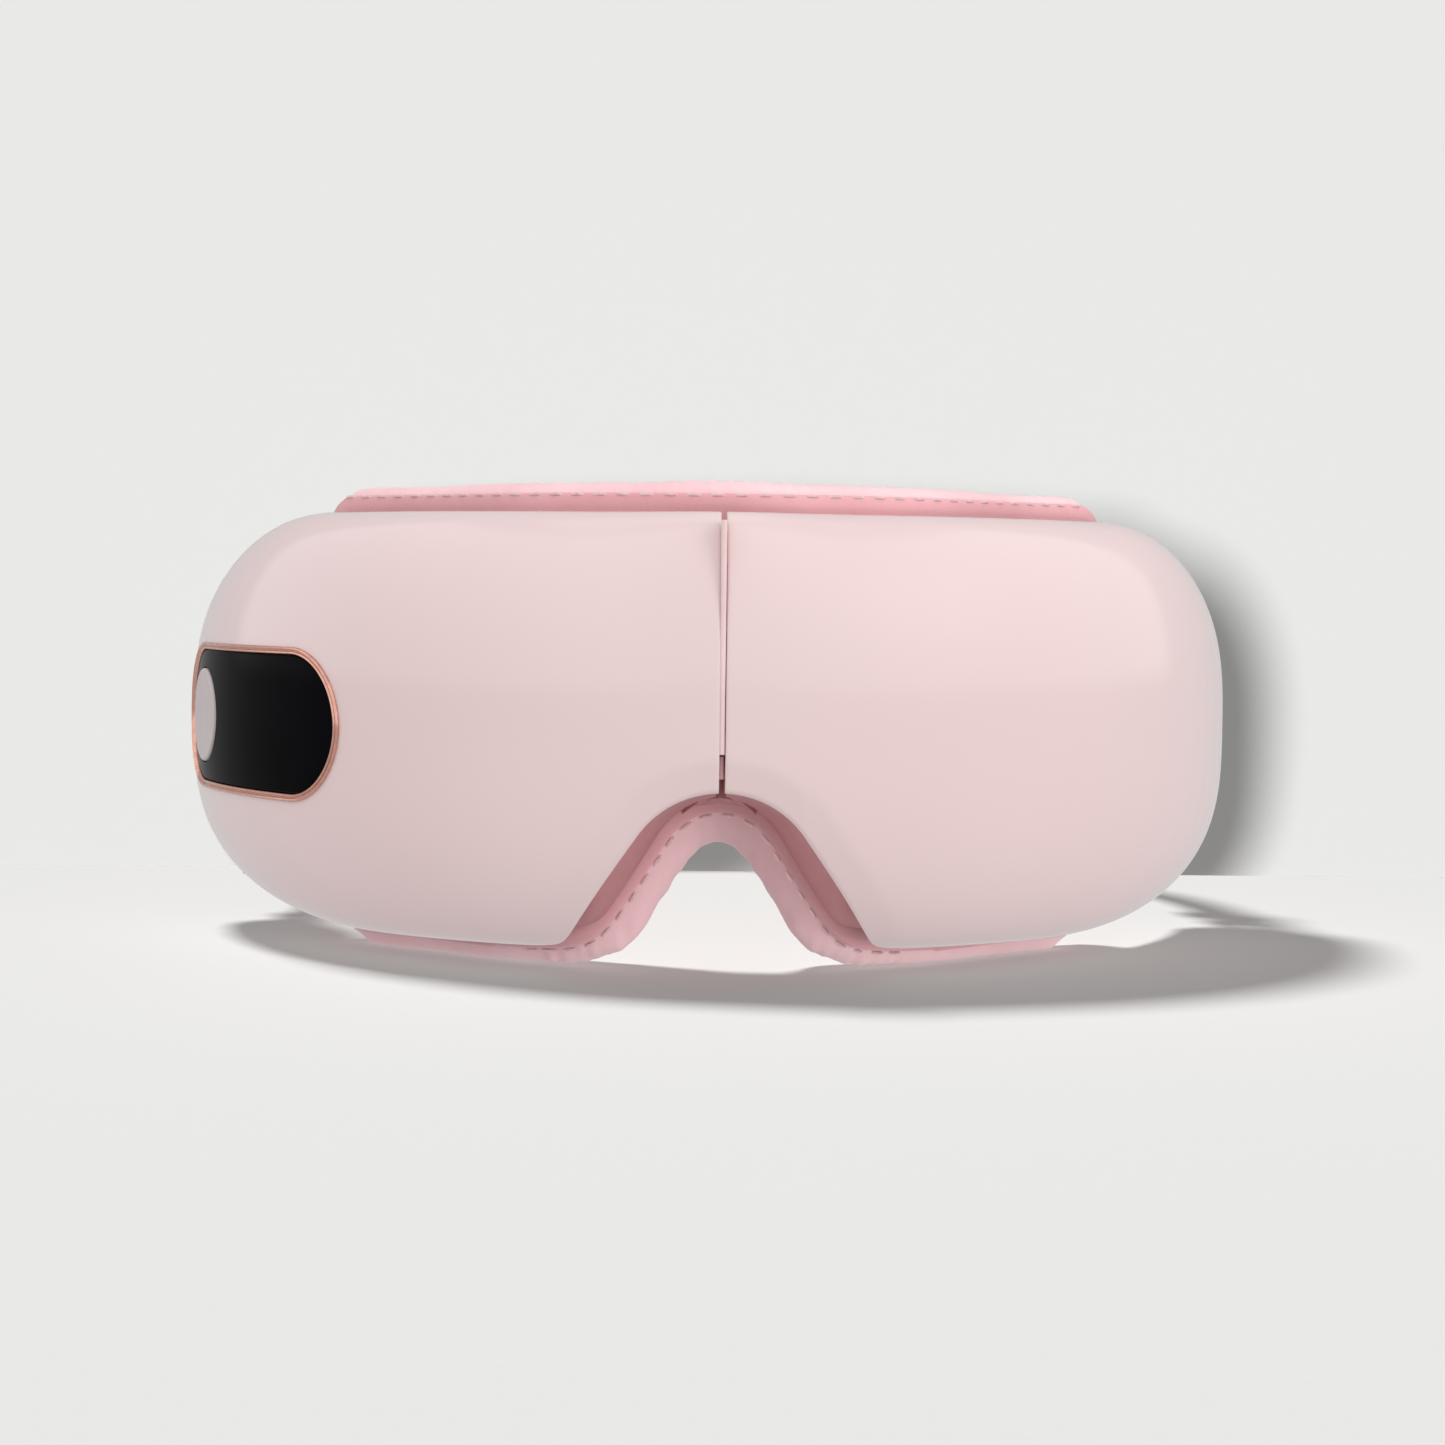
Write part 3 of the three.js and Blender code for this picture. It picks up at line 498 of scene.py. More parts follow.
SLOT_LOOKS = {
    "gloss_shell": gloss_shell, "matte_housing": housing_pink, "soft_gusset": gusset_pink,
    "face_leather": cushion_pink, "rose_gold": rose_gold, "panel_black": panel_black,
    "button_pink": button_pink, "steel": steel, "weight_metal": weight_metal, "board_green": board_green,
    "black_plastic": black_plastic, "battery_foil": battery_foil, "heating_copper": heating_copper,
    "clear_rubber": clear_rubber, "strap_webbing": webbing_pink,
}
for part in frame["record"]["subparts"]:
    obj = nodes[part["node"]]
    obj.data.materials.clear()
    obj.data.materials.append(SLOT_LOOKS[part["material_slot"]])

FITTING_BEVEL = 0.00035
for name, look in (("hinge_leaf_left", hinge_pink), ("hinge_leaf_right", hinge_pink),
                   ("strap_anchor_left", fitting_pink), ("strap_anchor_right", fitting_pink),
                   ("strap_buckle", fitting_pink), ("strap_keeper", fitting_pink)):
    nodes[name].data.materials[0] = look
    bevel = nodes[name].modifiers.new("edge", "BEVEL")
    bevel.width, bevel.segments = FITTING_BEVEL, 2
    bevel.limit_method, bevel.angle_limit = "ANGLE", math.radians(50)
    bevel.harden_normals = True


def ride(obj, body, slot, *replaced):
    if replaced:
        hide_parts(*replaced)
    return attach(obj, body)


def across_fold(obj, slot, *replaced, reach=0.026, depth=20):
    """A soft piece that spans the fold: hides the parts it replaces and bakes its transform into its mesh. reach, in
    metres each side of the fold, is not used.
    """
    if replaced:
        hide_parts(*replaced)
    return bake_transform(obj)


SIDES = ((-1, "left"), (1, "right"))


# ---- shells and housings
BEVEL_WIDTH, BEVEL_DEPTH, LIP, SEAM = 5.6, 1.3, 0.9, 0.35
PANEL_A, PANEL_Z, PANEL_HALF_HEIGHT, PANEL_STRAIGHT = -107.5, 1.8, 14.2, 20.3
GLASS_HALF_LENGTH, GLASS_HALF_HEIGHT = 32.9, 12.55
BUTTON_A, BUTTON_R, BUTTON_CLEAR = -127.3, 9.0, 0.25
PORT_A, PORT_DEPTH, PORT_STRAIGHT, PORT_R = -126, 10, 3.3, 1.6


def fold_shift(a, depth):
    """Moves the first columns out of the room that the other half needs to fold."""
    need = CLEAR + np.maximum(depth - HINGE_DEPTH, 0) * math.tan(FOLD_HALF) - GAP / 2
    return a + np.maximum(need, 0) * np.exp(-(a - GAP / 2) / 4.0)


def arch_relief(a, z):
    """How much deeper the shell's face is beside the nose arch: a bevel with a rounded lip."""
    slope = np.where(np.abs(a) < 14.5, np.abs(a) / 18, math.tan(ARCH_SLOPE))
    away = (z - arch_z(a, 0)) / np.hypot(1, slope)
    bevel = BEVEL_DEPTH * blend_max((BEVEL_WIDTH - away) / BEVEL_WIDTH, 0, 0.06)
    lip = LIP * (1 - np.sqrt(1 - np.clip(1 - away / LIP, 0, 1) ** 2))
    seam = SEAM * (1 - np.sqrt(1 - np.clip(1 - (a - GAP / 2) / 0.5, 0, 1) ** 2))
    return np.clip(bevel, 0, BEVEL_DEPTH) + lip + seam


def grid(columns, rows, edges, depth, side):
    """Points of one half's surface: columns along the plan curve, rows from edge to edge."""
    a = columns[:, None] * np.ones_like(rows)
    low, high = edges(a)
    z = low + (high - low) * rows
    d = depth(a, z)
    return place(side * fold_shift(a, d), z, d)


def stadium(inset, count=40):
    """Outline of the panel in (a, z), drawn in by inset."""
    r, s = PANEL_HALF_HEIGHT - inset, PANEL_STRAIGHT
    turn = np.linspace(-math.pi / 2, math.pi / 2, count)
    right = [(s + r * math.cos(u), r * math.sin(u)) for u in turn]
    top = [(s - 2 * s * t, r) for t in np.linspace(0, 1, 14)[1:-1]]
    points = right + top + [(-x, -z) for x, z in right] + [(-x, -z) for x, z in top]
    return np.array([(PANEL_A + x, PANEL_Z + z) for x, z in points])


def prism(name, outline, front, back):
    """A cutting tool: an outline in (a, z) swept from one depth to another."""
    return sweep(name, [place(outline[:, 0], outline[:, 1], d) for d in (front, back)])


def end_columns(reach, count):
    return TEMPLE_A + (reach - TEMPLE_A) * np.sin(np.linspace(0, math.pi / 2, count))[1:]


def port_tool():
    """A slot through the lower edge of the left shell, square to the mask's surface there."""
    u = angles(40)
    along = PORT_A + PORT_STRAIGHT * np.sign(np.cos(u)) * (np.abs(np.cos(u)) > 0.02) + PORT_R * np.cos(u)
    return sweep("port_hole", [place(along, z, PORT_DEPTH + PORT_R * np.sin(u)) for z in (-24, -40)])


INNER_GROW, INNER_SET_BACK, TRAY_FRONT = -1.6, 0.4, 2.5
shell_columns = np.concatenate([[0.5, 0.6, 0.75, 1.0, 1.5], np.linspace(2.2, TEMPLE_A, 118), end_columns(END_A, 22)])
tray_columns = np.concatenate([np.linspace(0.95, TEMPLE_A, 100), end_columns(END_A - 2.5, 14)])
for side, name in SIDES:
    rows = rim_rows(62)
    outer = grid(shell_columns, rows, lambda a: shell_edges(a, 0, 0),
                 lambda a, z: face_depth(a, z) + arch_relief(a, z), side)
    inner = grid(shell_columns, rows, lambda a: shell_edges(a, INNER_GROW, INNER_GROW),
                 lambda a, z: WALL + face_depth(a, z, INNER_GROW) + arch_relief(a, z) * 0.8 + INNER_SET_BACK, side)
    shell = stack(f"shell_{name}", [outer, inner], gloss_shell, 38)
    if name == "left":
        cut(shell, prism("panel_hole", stadium(0.6), -6, 9))
        cut(shell, port_tool())
        tidy_mesh(shell, 38)
    ride(shell, f"{name}_half", "gloss_shell", f"front_shell_{name}")

    rim = -WALL - TRAY_CLEAR
    # The housing from front to back: grow, reach, least room behind the shell's wall, and depth.
    layers = [(rim, -0.15, 0, lambda a, z: TRAY_FRONT + face_depth(a, z, rim)),
              (rim, 0.9, TRAY_CLEAR, lambda a, z: back_depth(a) * 0.42 + 1.2),
              (rim, 1.9, TRAY_CLEAR, lambda a, z: back_depth(a) * 0.72),
              (rim, 2.6, TRAY_CLEAR, lambda a, z: back_depth(a) - 0.6),
              (rim - 0.5, 2.2, -math.inf, lambda a, z: back_depth(a))]
    grids = [grid(tray_columns, rim_rows(24), lambda a: shell_edges(a, grow, reach),
                  lambda a, z: np.maximum(depth(a, z), WALL + face_depth(a, z, rim) + room), side)
             for grow, reach, room, depth in layers]
    ride(stack(f"housing_{name}", grids, housing_pink, 30), f"{name}_half", "matte_housing", f"rear_housing_{name}")



def cover_strip(name, material, x_low, x_high, z_low, z_high, front, back):
    """The hinge cover seen in the gap, with a slightly bowed face."""
    u = np.linspace(-1, 1, 9)
    z = np.linspace(z_low, z_high, 30)
    u, z = np.meshgrid(u, z, indexing="ij")
    x = x_low + (x_high - x_low) * (u + 1) / 2
    return stack(name, [MM * np.stack([x, FRONT_Y + depth + bow * u ** 2, DATUM_Z + z], -1)
                        for depth, bow in ((front, 0.25), (back, 0))], material, 50)


# A long strip just behind the gap, and a lower knuckle set further back.
# The long strip's pink is painted lighter than the hinge's own pink: painted light that stands in for the light the
# deep, narrow gap shuts out.
cover_pink_painted_light = moulded("cover_pink_painted_light", (0.86, 0.64, 0.64), 0.30)
ride(cover_strip("hinge_cover", cover_pink_painted_light, -0.6, 0.38, -0.9, 39.0, 0.3, 4.3), "left_half", "matte_housing")
ride(cover_strip("hinge_cover_low", hinge_pink, -0.62, 0.3, -5.2, -1.3, 1.9, 4.4), "left_half", "matte_housing")

# ---- control panel, bezel and button


def ring_sweep(name, inset_profile, material, count=48):
    """A ring along the panel's outline: each profile point is (inset, depth below the shell's face)."""
    outline = stadium(0, count)
    face = face_depth(outline[:, 0], outline[:, 1])
    rings = np.array([place(*stadium(inset, count).T, face + depth) for inset, depth in inset_profile])
    return sweep(name, [rings[:, i] for i in range(rings.shape[1])], material, closed=True, sharp=50)


bezel = [(0.1, 2.0), (0.1, -0.25), (0.2, -0.5), (0.42, -0.62), (0.66, -0.5), (0.78, -0.2), (0.9, -0.2),
         (1.02, -0.42), (1.25, -0.5), (1.45, -0.35), (1.55, 0.0), (1.6, 2.0)]
ride(ring_sweep("bezel", bezel, rose_gold), "left_half", "rose_gold", "bezel_ring")


def plate(name, a0, z0, half_length, half_height, straight, layers, material, count=61, rows=15, sharp=40):
    """A crowned plate with a stadium outline: layers are (inset, depth, crown)."""
    u = np.sin(np.linspace(-1, 1, count) * math.pi / 2) * 0.9999
    grids = []
    for inset, depth, crown in layers:
        reach = u * (half_length - inset)
        over = np.maximum(np.abs(reach) - straight, 0) / (half_length - inset - straight)
        half = (half_height - inset) * np.sqrt(np.maximum(1 - over ** 2, 0))
        v = rim_rows(rows)[None, :] * 2 - 1
        a = a0 + reach[:, None] * np.ones_like(v)
        z = z0 + half[:, None] * v
        inside = np.clip(1 - np.hypot(np.maximum(np.abs(a - a0) - straight, 0) / (half_length - inset - straight),
                                      (z - z0) / (half_height - inset)) ** 2, 0, 1)
        base = depth(a, z) if callable(depth) else depth
        grids.append(place(a, z, base + crown * inside))
    return stack(name, grids, material, sharp)


def shell_plus(offset):
    return lambda a, z: face_depth(a, z) + offset


def back_plus(offset):
    return lambda a, z: back_depth(a) + offset


panel = plate("panel", PANEL_A, PANEL_Z, GLASS_HALF_LENGTH, GLASS_HALF_HEIGHT, PANEL_STRAIGHT,
              [(0, shell_plus(2.0), 0), (0, shell_plus(0.25), 0), (0.25, shell_plus(0.05), -0.05)],
              panel_black, rows=31)
hole_u = angles(64)
ring = np.array([BUTTON_A, PANEL_Z]) + (BUTTON_R + BUTTON_CLEAR) * np.stack([np.cos(hole_u), np.sin(hole_u)], -1)
cut(panel, prism("button_hole", ring, -4, 8))
tidy_mesh(panel, 35)
ride(panel, "left_half", "panel_black", "control_panel")
button = plate("button", BUTTON_A, PANEL_Z, BUTTON_R, BUTTON_R, 0,
               [(0, shell_plus(1.3), 0), (0, shell_plus(-0.05), 0), (0.15, shell_plus(-0.3), 0),
                (0.5, shell_plus(-0.42), 0.35)],
               button_pink, count=49, rows=49)
ride(button, "power_button", "button_pink", "power_button")

# ---- face side: backing, leather ring, stitches
pad_steps = np.linspace(0, 1, 90) ** 0.9 * (PAD_END_A - 0.3)
pad_columns = np.concatenate([-pad_steps[::-1], pad_steps[1:]])
pad_rows = np.linspace(0, 1, 44)


def pad_stack(name, layers, material, sharp=40):
    """A body as wide as the face pad: layers are (insets, surface, offset from it, whether the top is flat)."""
    grids = []
    for (top, bottom, arch, end), surface, offset, flat_top in layers:
        a = (pad_columns * (PAD_END_A - end) / PAD_END_A)[:, None] * np.ones_like(pad_rows)
        low, high = pad_edges(a, top + (pad_rise(a) if flat_top else 0), bottom, arch, end)
        grids.append(place(a, low + (high - low) * pad_rows, surface(a) + offset))
    return stack(name, grids, material, sharp)


backing = pad_stack("pad_backing", [
    ((5.4, 5.0, 8.6, 5.0), pad_front, -1.9, True), ((3.3, 3.1, 6.3, 3.3), pad_front, -1.8, True),
    ((2.9, 2.7, 5.8, 2.9), pad_front, -1.4, True), ((2.8, 2.6, 5.7, 2.8), pad_front, -1.0, True),
    ((3.1, 2.9, 6.0, 3.1), pad_front, -0.5, True), ((4.2, 4.0, 7.0, 4.0), pad_front, -0.4, True)], piping_pink, 60)
across_fold(backing, "face_leather", "pad_frame_left", "pad_frame_right")


def eye_outline(side, grow, count=64):
    u = angles(count)
    return np.stack([side * EYE_A + (EYE_RA + grow) * np.cos(u), EYE_Z + (EYE_RZ + grow) * np.sin(u)], -1)


ring_pad = pad_stack("face_pad", [
    ((3.2, 2.8, 5.6, 3.2), pad_front, -0.3, True), ((2.2, 1.8, 4.3, 2.2), pad_front, 0.1, True),
    ((0.6, 0.0, 1.7, 0.8), pad_front, 0.9, False), ((-0.3, -0.9, -0.2, -0.1), pad_front, 2.6, False),
    ((-0.5, -1.2, -0.8, -0.3), pad_front, 4.6, False), ((-0.1, -0.9, -0.3, 0.1), pad_depth, -2.2, False),
    ((1.2, 0.7, 1.4, 1.4), pad_depth, -0.6, False), ((3.2, 2.8, 3.8, 3.4), pad_depth, -0.2, False)], leather_pink)
for side, name in SIDES:
    cut(ring_pad, prism("eye_hole", eye_outline(side, 0.9), 8, 60))
inflate(ring_pad, 0.0034, 0.0010)


def mask_coordinates(co):
    """Arc length, height and depth in mm of points near the mask."""
    x, y, z = co[:, 0] / MM, co[:, 1] / MM - FRONT_Y, co[:, 2] / MM - DATUM_Z
    table = np.linspace(0, RUN[-1], 600)
    px, py, turn = plan(table)
    a, depth = np.empty(len(x)), np.empty(len(x))
    for start in range(0, len(x), 4000):
        sl = slice(start, start + 4000)
        dx, dy = np.abs(x[sl])[:, None] - px, y[sl][:, None] - py
        along = dx * np.cos(turn) + dy * np.sin(turn)
        inward = -dx * np.sin(turn) + dy * np.cos(turn)
        score = np.abs(along) + np.where(inward < -1, 50, 0)
        k = score.argmin(1)
        rows_ = np.arange(len(k))
        a[sl] = table[k] + along[rows_, k] * 0.3
        depth[sl] = inward[rows_, k]
    return a * np.sign(x), z, depth


def gathers(obj):
    """Presses the small radial gathers of the leather into the top edge and the nose arch."""
    co = coords(obj)
    a, z, depth = mask_coordinates(co)
    low, high = pad_edges(a)
    normals = np.empty(len(co) * 3)
    obj.data.vertices.foreach_get("normal", normals)
    normals = normals.reshape(-1, 3)
    rng = np.random.default_rng(7)
    phase = rng.uniform(0, 6.28, 6)
    wave = sum(np.sin(a * (1.25 + 0.37 * i) + phase[i]) for i in range(4)) / 4
    wave = np.sign(wave) * np.abs(wave) ** 0.8
    edge = np.exp(-((depth - pad_front(a) - 1.8) / 3.2) ** 2)
    near_top = edge * np.exp(-((high - z) / 2.6) ** 2) * (0.35 + 0.65 * np.exp(-((a / 26) ** 2)))
    near_arch = edge * np.exp(-(np.maximum(z - low, 0) / 4.0) ** 2) * (np.abs(a) < 42)
    dimple = np.exp(-((np.hypot((np.abs(a) - EYE_A) / 1.28, (z - EYE_Z) / 1.2) - 21.5) / 1.4) ** 2)
    back = np.clip((depth - pad_depth(a) + 4) / 3, 0, 1)
    height = 0.32 * wave * (near_top + near_arch) - 0.55 * dimple * back
    moved = co + normals * (height * MM)[:, None]
    moved[:, 2] = np.maximum(moved[:, 2], 0)
    set_coords(obj, moved)


gathers(ring_pad)
across_fold(ring_pad, "face_leather", "face_pad_left", "face_pad_right", "nose_bridge_pad")


def stitch_rings(centre, along, normal, length, radius, count=6):
    """A stitch: a short rounded thread bar that dips at both ends."""
    along, normal = Vector(along).normalized(), Vector(normal).normalized()
    side = along.cross(normal).normalized()
    rings = []
    for t in (-1, -0.86, -0.5, 0, 0.5, 0.86, 1):
        r = radius * max(0.12, math.sqrt(max(0, 1 - abs(t) ** 3)))
        c = Vector(centre) + along * (t * length / 2) - normal * (radius * 1.3 * t ** 4)
        rings.append([c + r * (math.cos(u) * side + math.sin(u) * normal)
                      for u in angles(count)])
    return rings


# Stitch sizes in metres: pitch, length and thread radius.
TOP_STITCH, ARCH_STITCH = (0.0042, 0.0034, 0.00036), (0.0040, 0.0032, 0.00036)
EYE_STITCH, STRAP_STITCH = (0.0042, 0.0032, 0.00034), (0.0026, 0.0021, 0.00028)


def stitches(name, line, normals, size):
    """A row of stitches along a line of points, as one mesh."""
    pitch, length, radius = size
    line = np.asarray(line)
    run = run_along(line)
    verts, faces = [], []
    for s in np.arange(pitch / 2, run[-1], pitch):
        at = lambda q, table=line: np.array([np.interp(q, run, table[:, k]) for k in range(3)])
        centre, ahead, behind = at(s), at(s + 0.0005), at(s - 0.0005)
        rings = stitch_rings(centre, ahead - behind, at(s, normals), length, radius)
        base, n = len(verts), len(rings[0])
        verts += [v for ring_ in rings for v in ring_]
        last = base + (len(rings) - 1) * n
        for first in range(base, last, n):
            faces += [(first + j, first + n + j, first + n + (j + 1) % n, first + (j + 1) % n) for j in range(n)]
        faces += [tuple(range(base, base + n)), tuple(range(last, last + n))]
    return new_object(name, verts, faces, thread_pink, 70)


def seat(a, z, targets, reach=6.0):
    """Where lines straight in through the mask's front meet the targets, and which way is out there."""
    trees = [BVHTree.FromPolygons([v.co for v in o.data.vertices], [p.vertices for p in o.data.polygons])
             for o in targets]
    points, normals = [], []
    for q, height in zip(a, z):
        start = Vector(place(np.array([q]), height, pad_front(q) - reach)[0])
        inward = (Vector(place(np.array([q]), height, pad_front(q))[0]) - start).normalized()
        hits = [t.ray_cast(start, inward, 2 * reach * MM) for t in trees]
        hits = [h for h in hits if h[0] is not None]
        if hits:
            hit = min(hits, key=lambda h: h[3])
            points.append(hit[0])
            normals.append(hit[1] if hit[1].dot(inward) < 0 else -hit[1])
        else:
            points.append(start + inward * reach * MM)
            normals.append(-inward)
    return np.array(points), np.array(normals)


line_a = np.linspace(-100, 100, 400)
_, high = pad_edges(line_a, 3.1 + pad_rise(line_a), 2, 4.75, 2.4)
top_line, up_front = seat(line_a, high, (ring_pad, backing))
arch_a = np.linspace(-44, 44, 300)
low, _ = pad_edges(arch_a, 2.3, 2.1, 5.2, 2.4)
arch_line, arch_front = seat(arch_a, low, (ring_pad, backing))
rows_of_thread = merge("pad_stitches", [stitches("top_row", top_line, up_front, TOP_STITCH),
                                        stitches("arch_row", arch_line, arch_front, ARCH_STITCH)])
across_fold(rows_of_thread, "face_leather")

# Piping round each eye opening, the eye cushions with their massage bumps, and the temple pads.
PIPING_R = 0.0010
BUMP_R, BUMP_RING_A, BUMP_RING_Z = 2.3, 8.6, 9.8
TEMPLE_STRAIGHT, GROOVE_R, GROOVE_DEPTH = 4, 10.6, 0.7
for side, name in SIDES:
    ring = eye_outline(side, 1.1)
    depth = pad_depth(ring[:, 0]) - 0.9
    piping = sweep(f"eye_piping_{name}", tube_rings(place(*ring.T, depth), PIPING_R), piping_pink, True)
    ride(piping, f"{name}_half", "face_leather")
    ring = eye_outline(side, 5.0, 120)
    ring = np.concatenate([ring, ring[:1]])
    path = place(*ring.T, pad_depth(ring[:, 0]) - 0.25)
    inward = place(*ring.T, pad_depth(ring[:, 0]) + 1.0) - path
    seam = stitches(f"eye_stitches_{name}", path, inward * 1000, EYE_STITCH)
    ride(seam, f"{name}_half", "face_leather")

    centre = side * EYE_A
    cushion = plate(f"eye_cushion_fine_{name}", centre, EYE_Z, 15.6, 17.8, 0,
                    [(0.6, back_plus(7.5), 0), (0, back_plus(8.2), 0), (0.2, back_plus(9.0), 0),
                     (1.2, back_plus(9.6), 0.9)],
                    cushion_pink, count=41, rows=31)
    inflate(cushion, 0.0022, 0.0004)
    co = coords(cushion)
    a, z, depth = mask_coordinates(co)
    towards = np.clip((depth - back_depth(a) - 8.6) / 1.0, 0, 1)
    bump = np.zeros(len(co))
    for da, dz in [(0, 0)] + [(BUMP_RING_A * math.cos(u), BUMP_RING_Z * math.sin(u))
                              for u in angles(8)]:
        bump += np.exp(-(((np.abs(a) - EYE_A - da) ** 2 + (z - EYE_Z - dz) ** 2) / BUMP_R ** 2) ** 1.5)
    set_coords(cushion, co + (towards * bump)[:, None] * inward_mm(centre, EYE_Z))
    ride(cushion, f"eye_massager_{name}", "face_leather", f"eye_cushion_{name}")

    temple = plate(f"temple_pad_fine_{name}", side * TEMPLE_PAD_A, STRAP_Z, 16.6, 16.6, TEMPLE_STRAIGHT,
                   [(0, back_plus(0.4), 0), (0, back_plus(2.0), 0), (0.6, back_plus(3.4), 0),
                    (2.2, back_plus(4.2), 0.8)],
                   cushion_pink, count=41, rows=31)
    inflate(temple, 0.0026, 0.0005)
    co = coords(temple)
    a, z, depth = mask_coordinates(co)
    radius = np.hypot(np.maximum(np.abs(np.abs(a) - TEMPLE_PAD_A) - TEMPLE_STRAIGHT, 0), z - STRAP_Z)
    groove = np.exp(-((radius - GROOVE_R) / 0.9) ** 2) * np.clip((depth - back_depth(a) - 2.8) / 1.2, 0, 1)
    set_coords(temple, co - (groove * GROOVE_DEPTH)[:, None] * inward_mm(side * TEMPLE_PAD_A, STRAP_Z))
    ride(temple, f"{name}_half", "face_leather", f"temple_pad_{name}")

# Accordion gusset between the housings, behind the hinge.
gusset_columns = np.linspace(-1, 1, 49)
HINGE_BACK = 11.4


def gusset_grid(depth, reach, inset_top, pleat):
    a = gusset_columns * (CLEAR + (depth - HINGE_DEPTH) * math.tan(FOLD_HALF) + 0.6)
    a = a[:, None] * np.ones((1, 20))
    low, _ = shell_edges(a, -WALL - TRAY_CLEAR, reach)
    high = TOP - WALL - TRAY_CLEAR - inset_top
    z = low + (high - low) * np.linspace(0, 1, 20)
    wave = pleat * np.cos(gusset_columns * 3 * math.pi)[:, None]
    return place(a, z, depth + wave)


gusset = stack("gusset", [gusset_grid(HINGE_BACK, 1.6, 0.3, 0.5), gusset_grid(13.2, 2.2, 0.2, 0.5),
                          gusset_grid(15.0, 2.6, 0.2, 0.5), gusset_grid(16.2, 2.9, 0.6, 0.3)], gusset_pink, 60)
across_fold(gusset, "soft_gusset", "bridge_gusset")

# The air hose that crosses the fold keeps its CAD shape.
hose_node = nodes["air_hose_crossover"]
hose = linked("crossover_hose", hose_node.data.copy())
hose.data.transform(hose_node.matrix_world)
hose.data.materials.clear()
hose.data.materials.append(clear_rubber)
across_fold(hose, "clear_rubber", "air_hose_crossover", reach=0.007, depth=12)

# ---- strap
BAR_R, LOOP_R, BUCKLE_BAR_X = 1.5, 4.1, 13
SEWN_FROM, SEWN_TO, RIBS = 8, 22, 9
bar_a_x, bar_a_y, bar_turn = plan(166.5)
BAR_X = float(bar_a_x - 10.5 * np.sin(bar_turn))
BAR_Y = float(FRONT_Y + bar_a_y + 10.5 * np.cos(bar_turn))
BACK_Y = 2 * BAR_Y - (FRONT_Y + HINGE_DEPTH)
STRAP_MID = DATUM_Z + STRAP_Z


def strap_half(side, name, end_x):
    """Ribbed elastic webbing with a sewn loop at each end, as one swept band."""
    start, back = (BAR_X, BAR_Y), (end_x, BACK_Y)
    line = bezier([start, (start[0] - 1.5, start[1] + 62), (back[0] + 58, back[1]), back], 401)
    run = run_along(line)
    s = np.linspace(0, run[-1], 150)
    from_end = np.minimum(s, run[-1] - s)
    pts = np.stack([np.interp(s, run, line[:, k]) for k in (0, 1)], -1)
    tan = np.gradient(pts, axis=0)
    tan /= np.linalg.norm(tan, axis=1, keepdims=True)
    nor = np.stack([tan[:, 1], -tan[:, 0]], -1)
    half_w, half_t = STRAP_WIDTH / 2 - 0.2, STRAP_THICK / 2 - 0.15
    across = np.linspace(-1, 1, 41)
    rib = 0.16 * np.abs(np.sin(across * math.pi * RIBS))
    edge = np.sqrt(np.clip(1 - np.abs(across) ** 14, 0.02, 1))
    z = STRAP_MID + across * half_w
    rings = []
    for i in np.flatnonzero(from_end > LOOP_R - 1.2):
        sewn = 1.0 if SEWN_FROM < from_end[i] < SEWN_TO else 0.0
        thick = (half_t + 0.35 * sewn - 0.16 + rib) * edge
        outer, inner = (np.column_stack([pts[i] + face * nor[i] * thick[:, None], z]) for face in (1, -1))
        rings.append(np.concatenate([outer, inner[::-1]]) * MM * np.array([side, 1, 1]))
    pieces = [sweep(f"band_{name}", rings, webbing_pink, sharp=60)]
    u = angles(40)
    for cx, cy in (start, back):
        profile = []
        for radius, ribbed, row in ((LOOP_R - 0.1, 1, across), (BAR_R + 0.55, 0, across[::-1])):
            for w in row:
                r = radius + ribbed * (0.08 * abs(math.sin(w * math.pi * RIBS)) - 0.4 * abs(w) ** 14)
                profile.append(np.column_stack([side * (cx + r * np.cos(u)), cy + r * np.sin(u),
                                                np.full(40, STRAP_MID + w * half_w)]) * MM)
        pieces.append(sweep(f"loop_{name}", profile, webbing_pink, closed=True, sharp=60))
    ride(merge(f"webbing_{name}", pieces), f"strap_{name}", "strap_webbing", f"strap_{name}")
    thread = []
    for q in (9.5, run[-1] - 9.5, 20.5, run[-1] - 20.5):
        c = np.array([np.interp(q, run, line[:, k]) for k in (0, 1)])
        k = int(np.argmin(np.abs(s - q)))
        for face in (-1, 1):
            off = nor[k] * face * (half_t + 0.42)
            path = np.array([[side * (c[0] + off[0]), c[1] + off[1], STRAP_MID + w]
                             for w in np.linspace(-10.5, 10.5, 30)]) * MM
            normals = np.tile(np.array([side * nor[k][0] * face, nor[k][1] * face, 0.0]), (30, 1))
            thread.append(stitches("row", path, normals, STRAP_STITCH))
    ride(merge(f"strap_stitches_{name}", thread), f"strap_{name}", "strap_webbing")


strap_half(-1, "left", 0.0)
strap_half(1, "right", BUCKLE_BAR_X)

# ---- camera
YAW, PITCH, ROLL, DISTANCE = math.radians(1.64), math.radians(2.86), math.radians(0.69), 0.457
target = Vector((-0.00008, FRONT_Y * MM, DATUM_Z * MM + 0.00464))
look = Vector((math.sin(YAW) * math.cos(PITCH), math.cos(YAW) * math.cos(PITCH), -math.sin(PITCH)))
right = Vector((math.cos(YAW), -math.sin(YAW), 0))
up = Vector((math.sin(YAW) * math.sin(PITCH), math.cos(YAW) * math.sin(PITCH), math.cos(PITCH)))
right_r = right * math.cos(ROLL) + up * math.sin(ROLL)
up_r = up * math.cos(ROLL) - right * math.sin(ROLL)
camera = linked("camera", bpy.data.cameras.new("camera"))
eye = target - look * DISTANCE
camera.matrix_world = Matrix((
    (right_r.x, up_r.x, -look.x, eye.x), (right_r.y, up_r.y, -look.y, eye.y),
    (right_r.z, up_r.z, -look.z, eye.z), (0, 0, 0, 1)))
camera.data.lens, camera.data.sensor_width = 67.02, 36
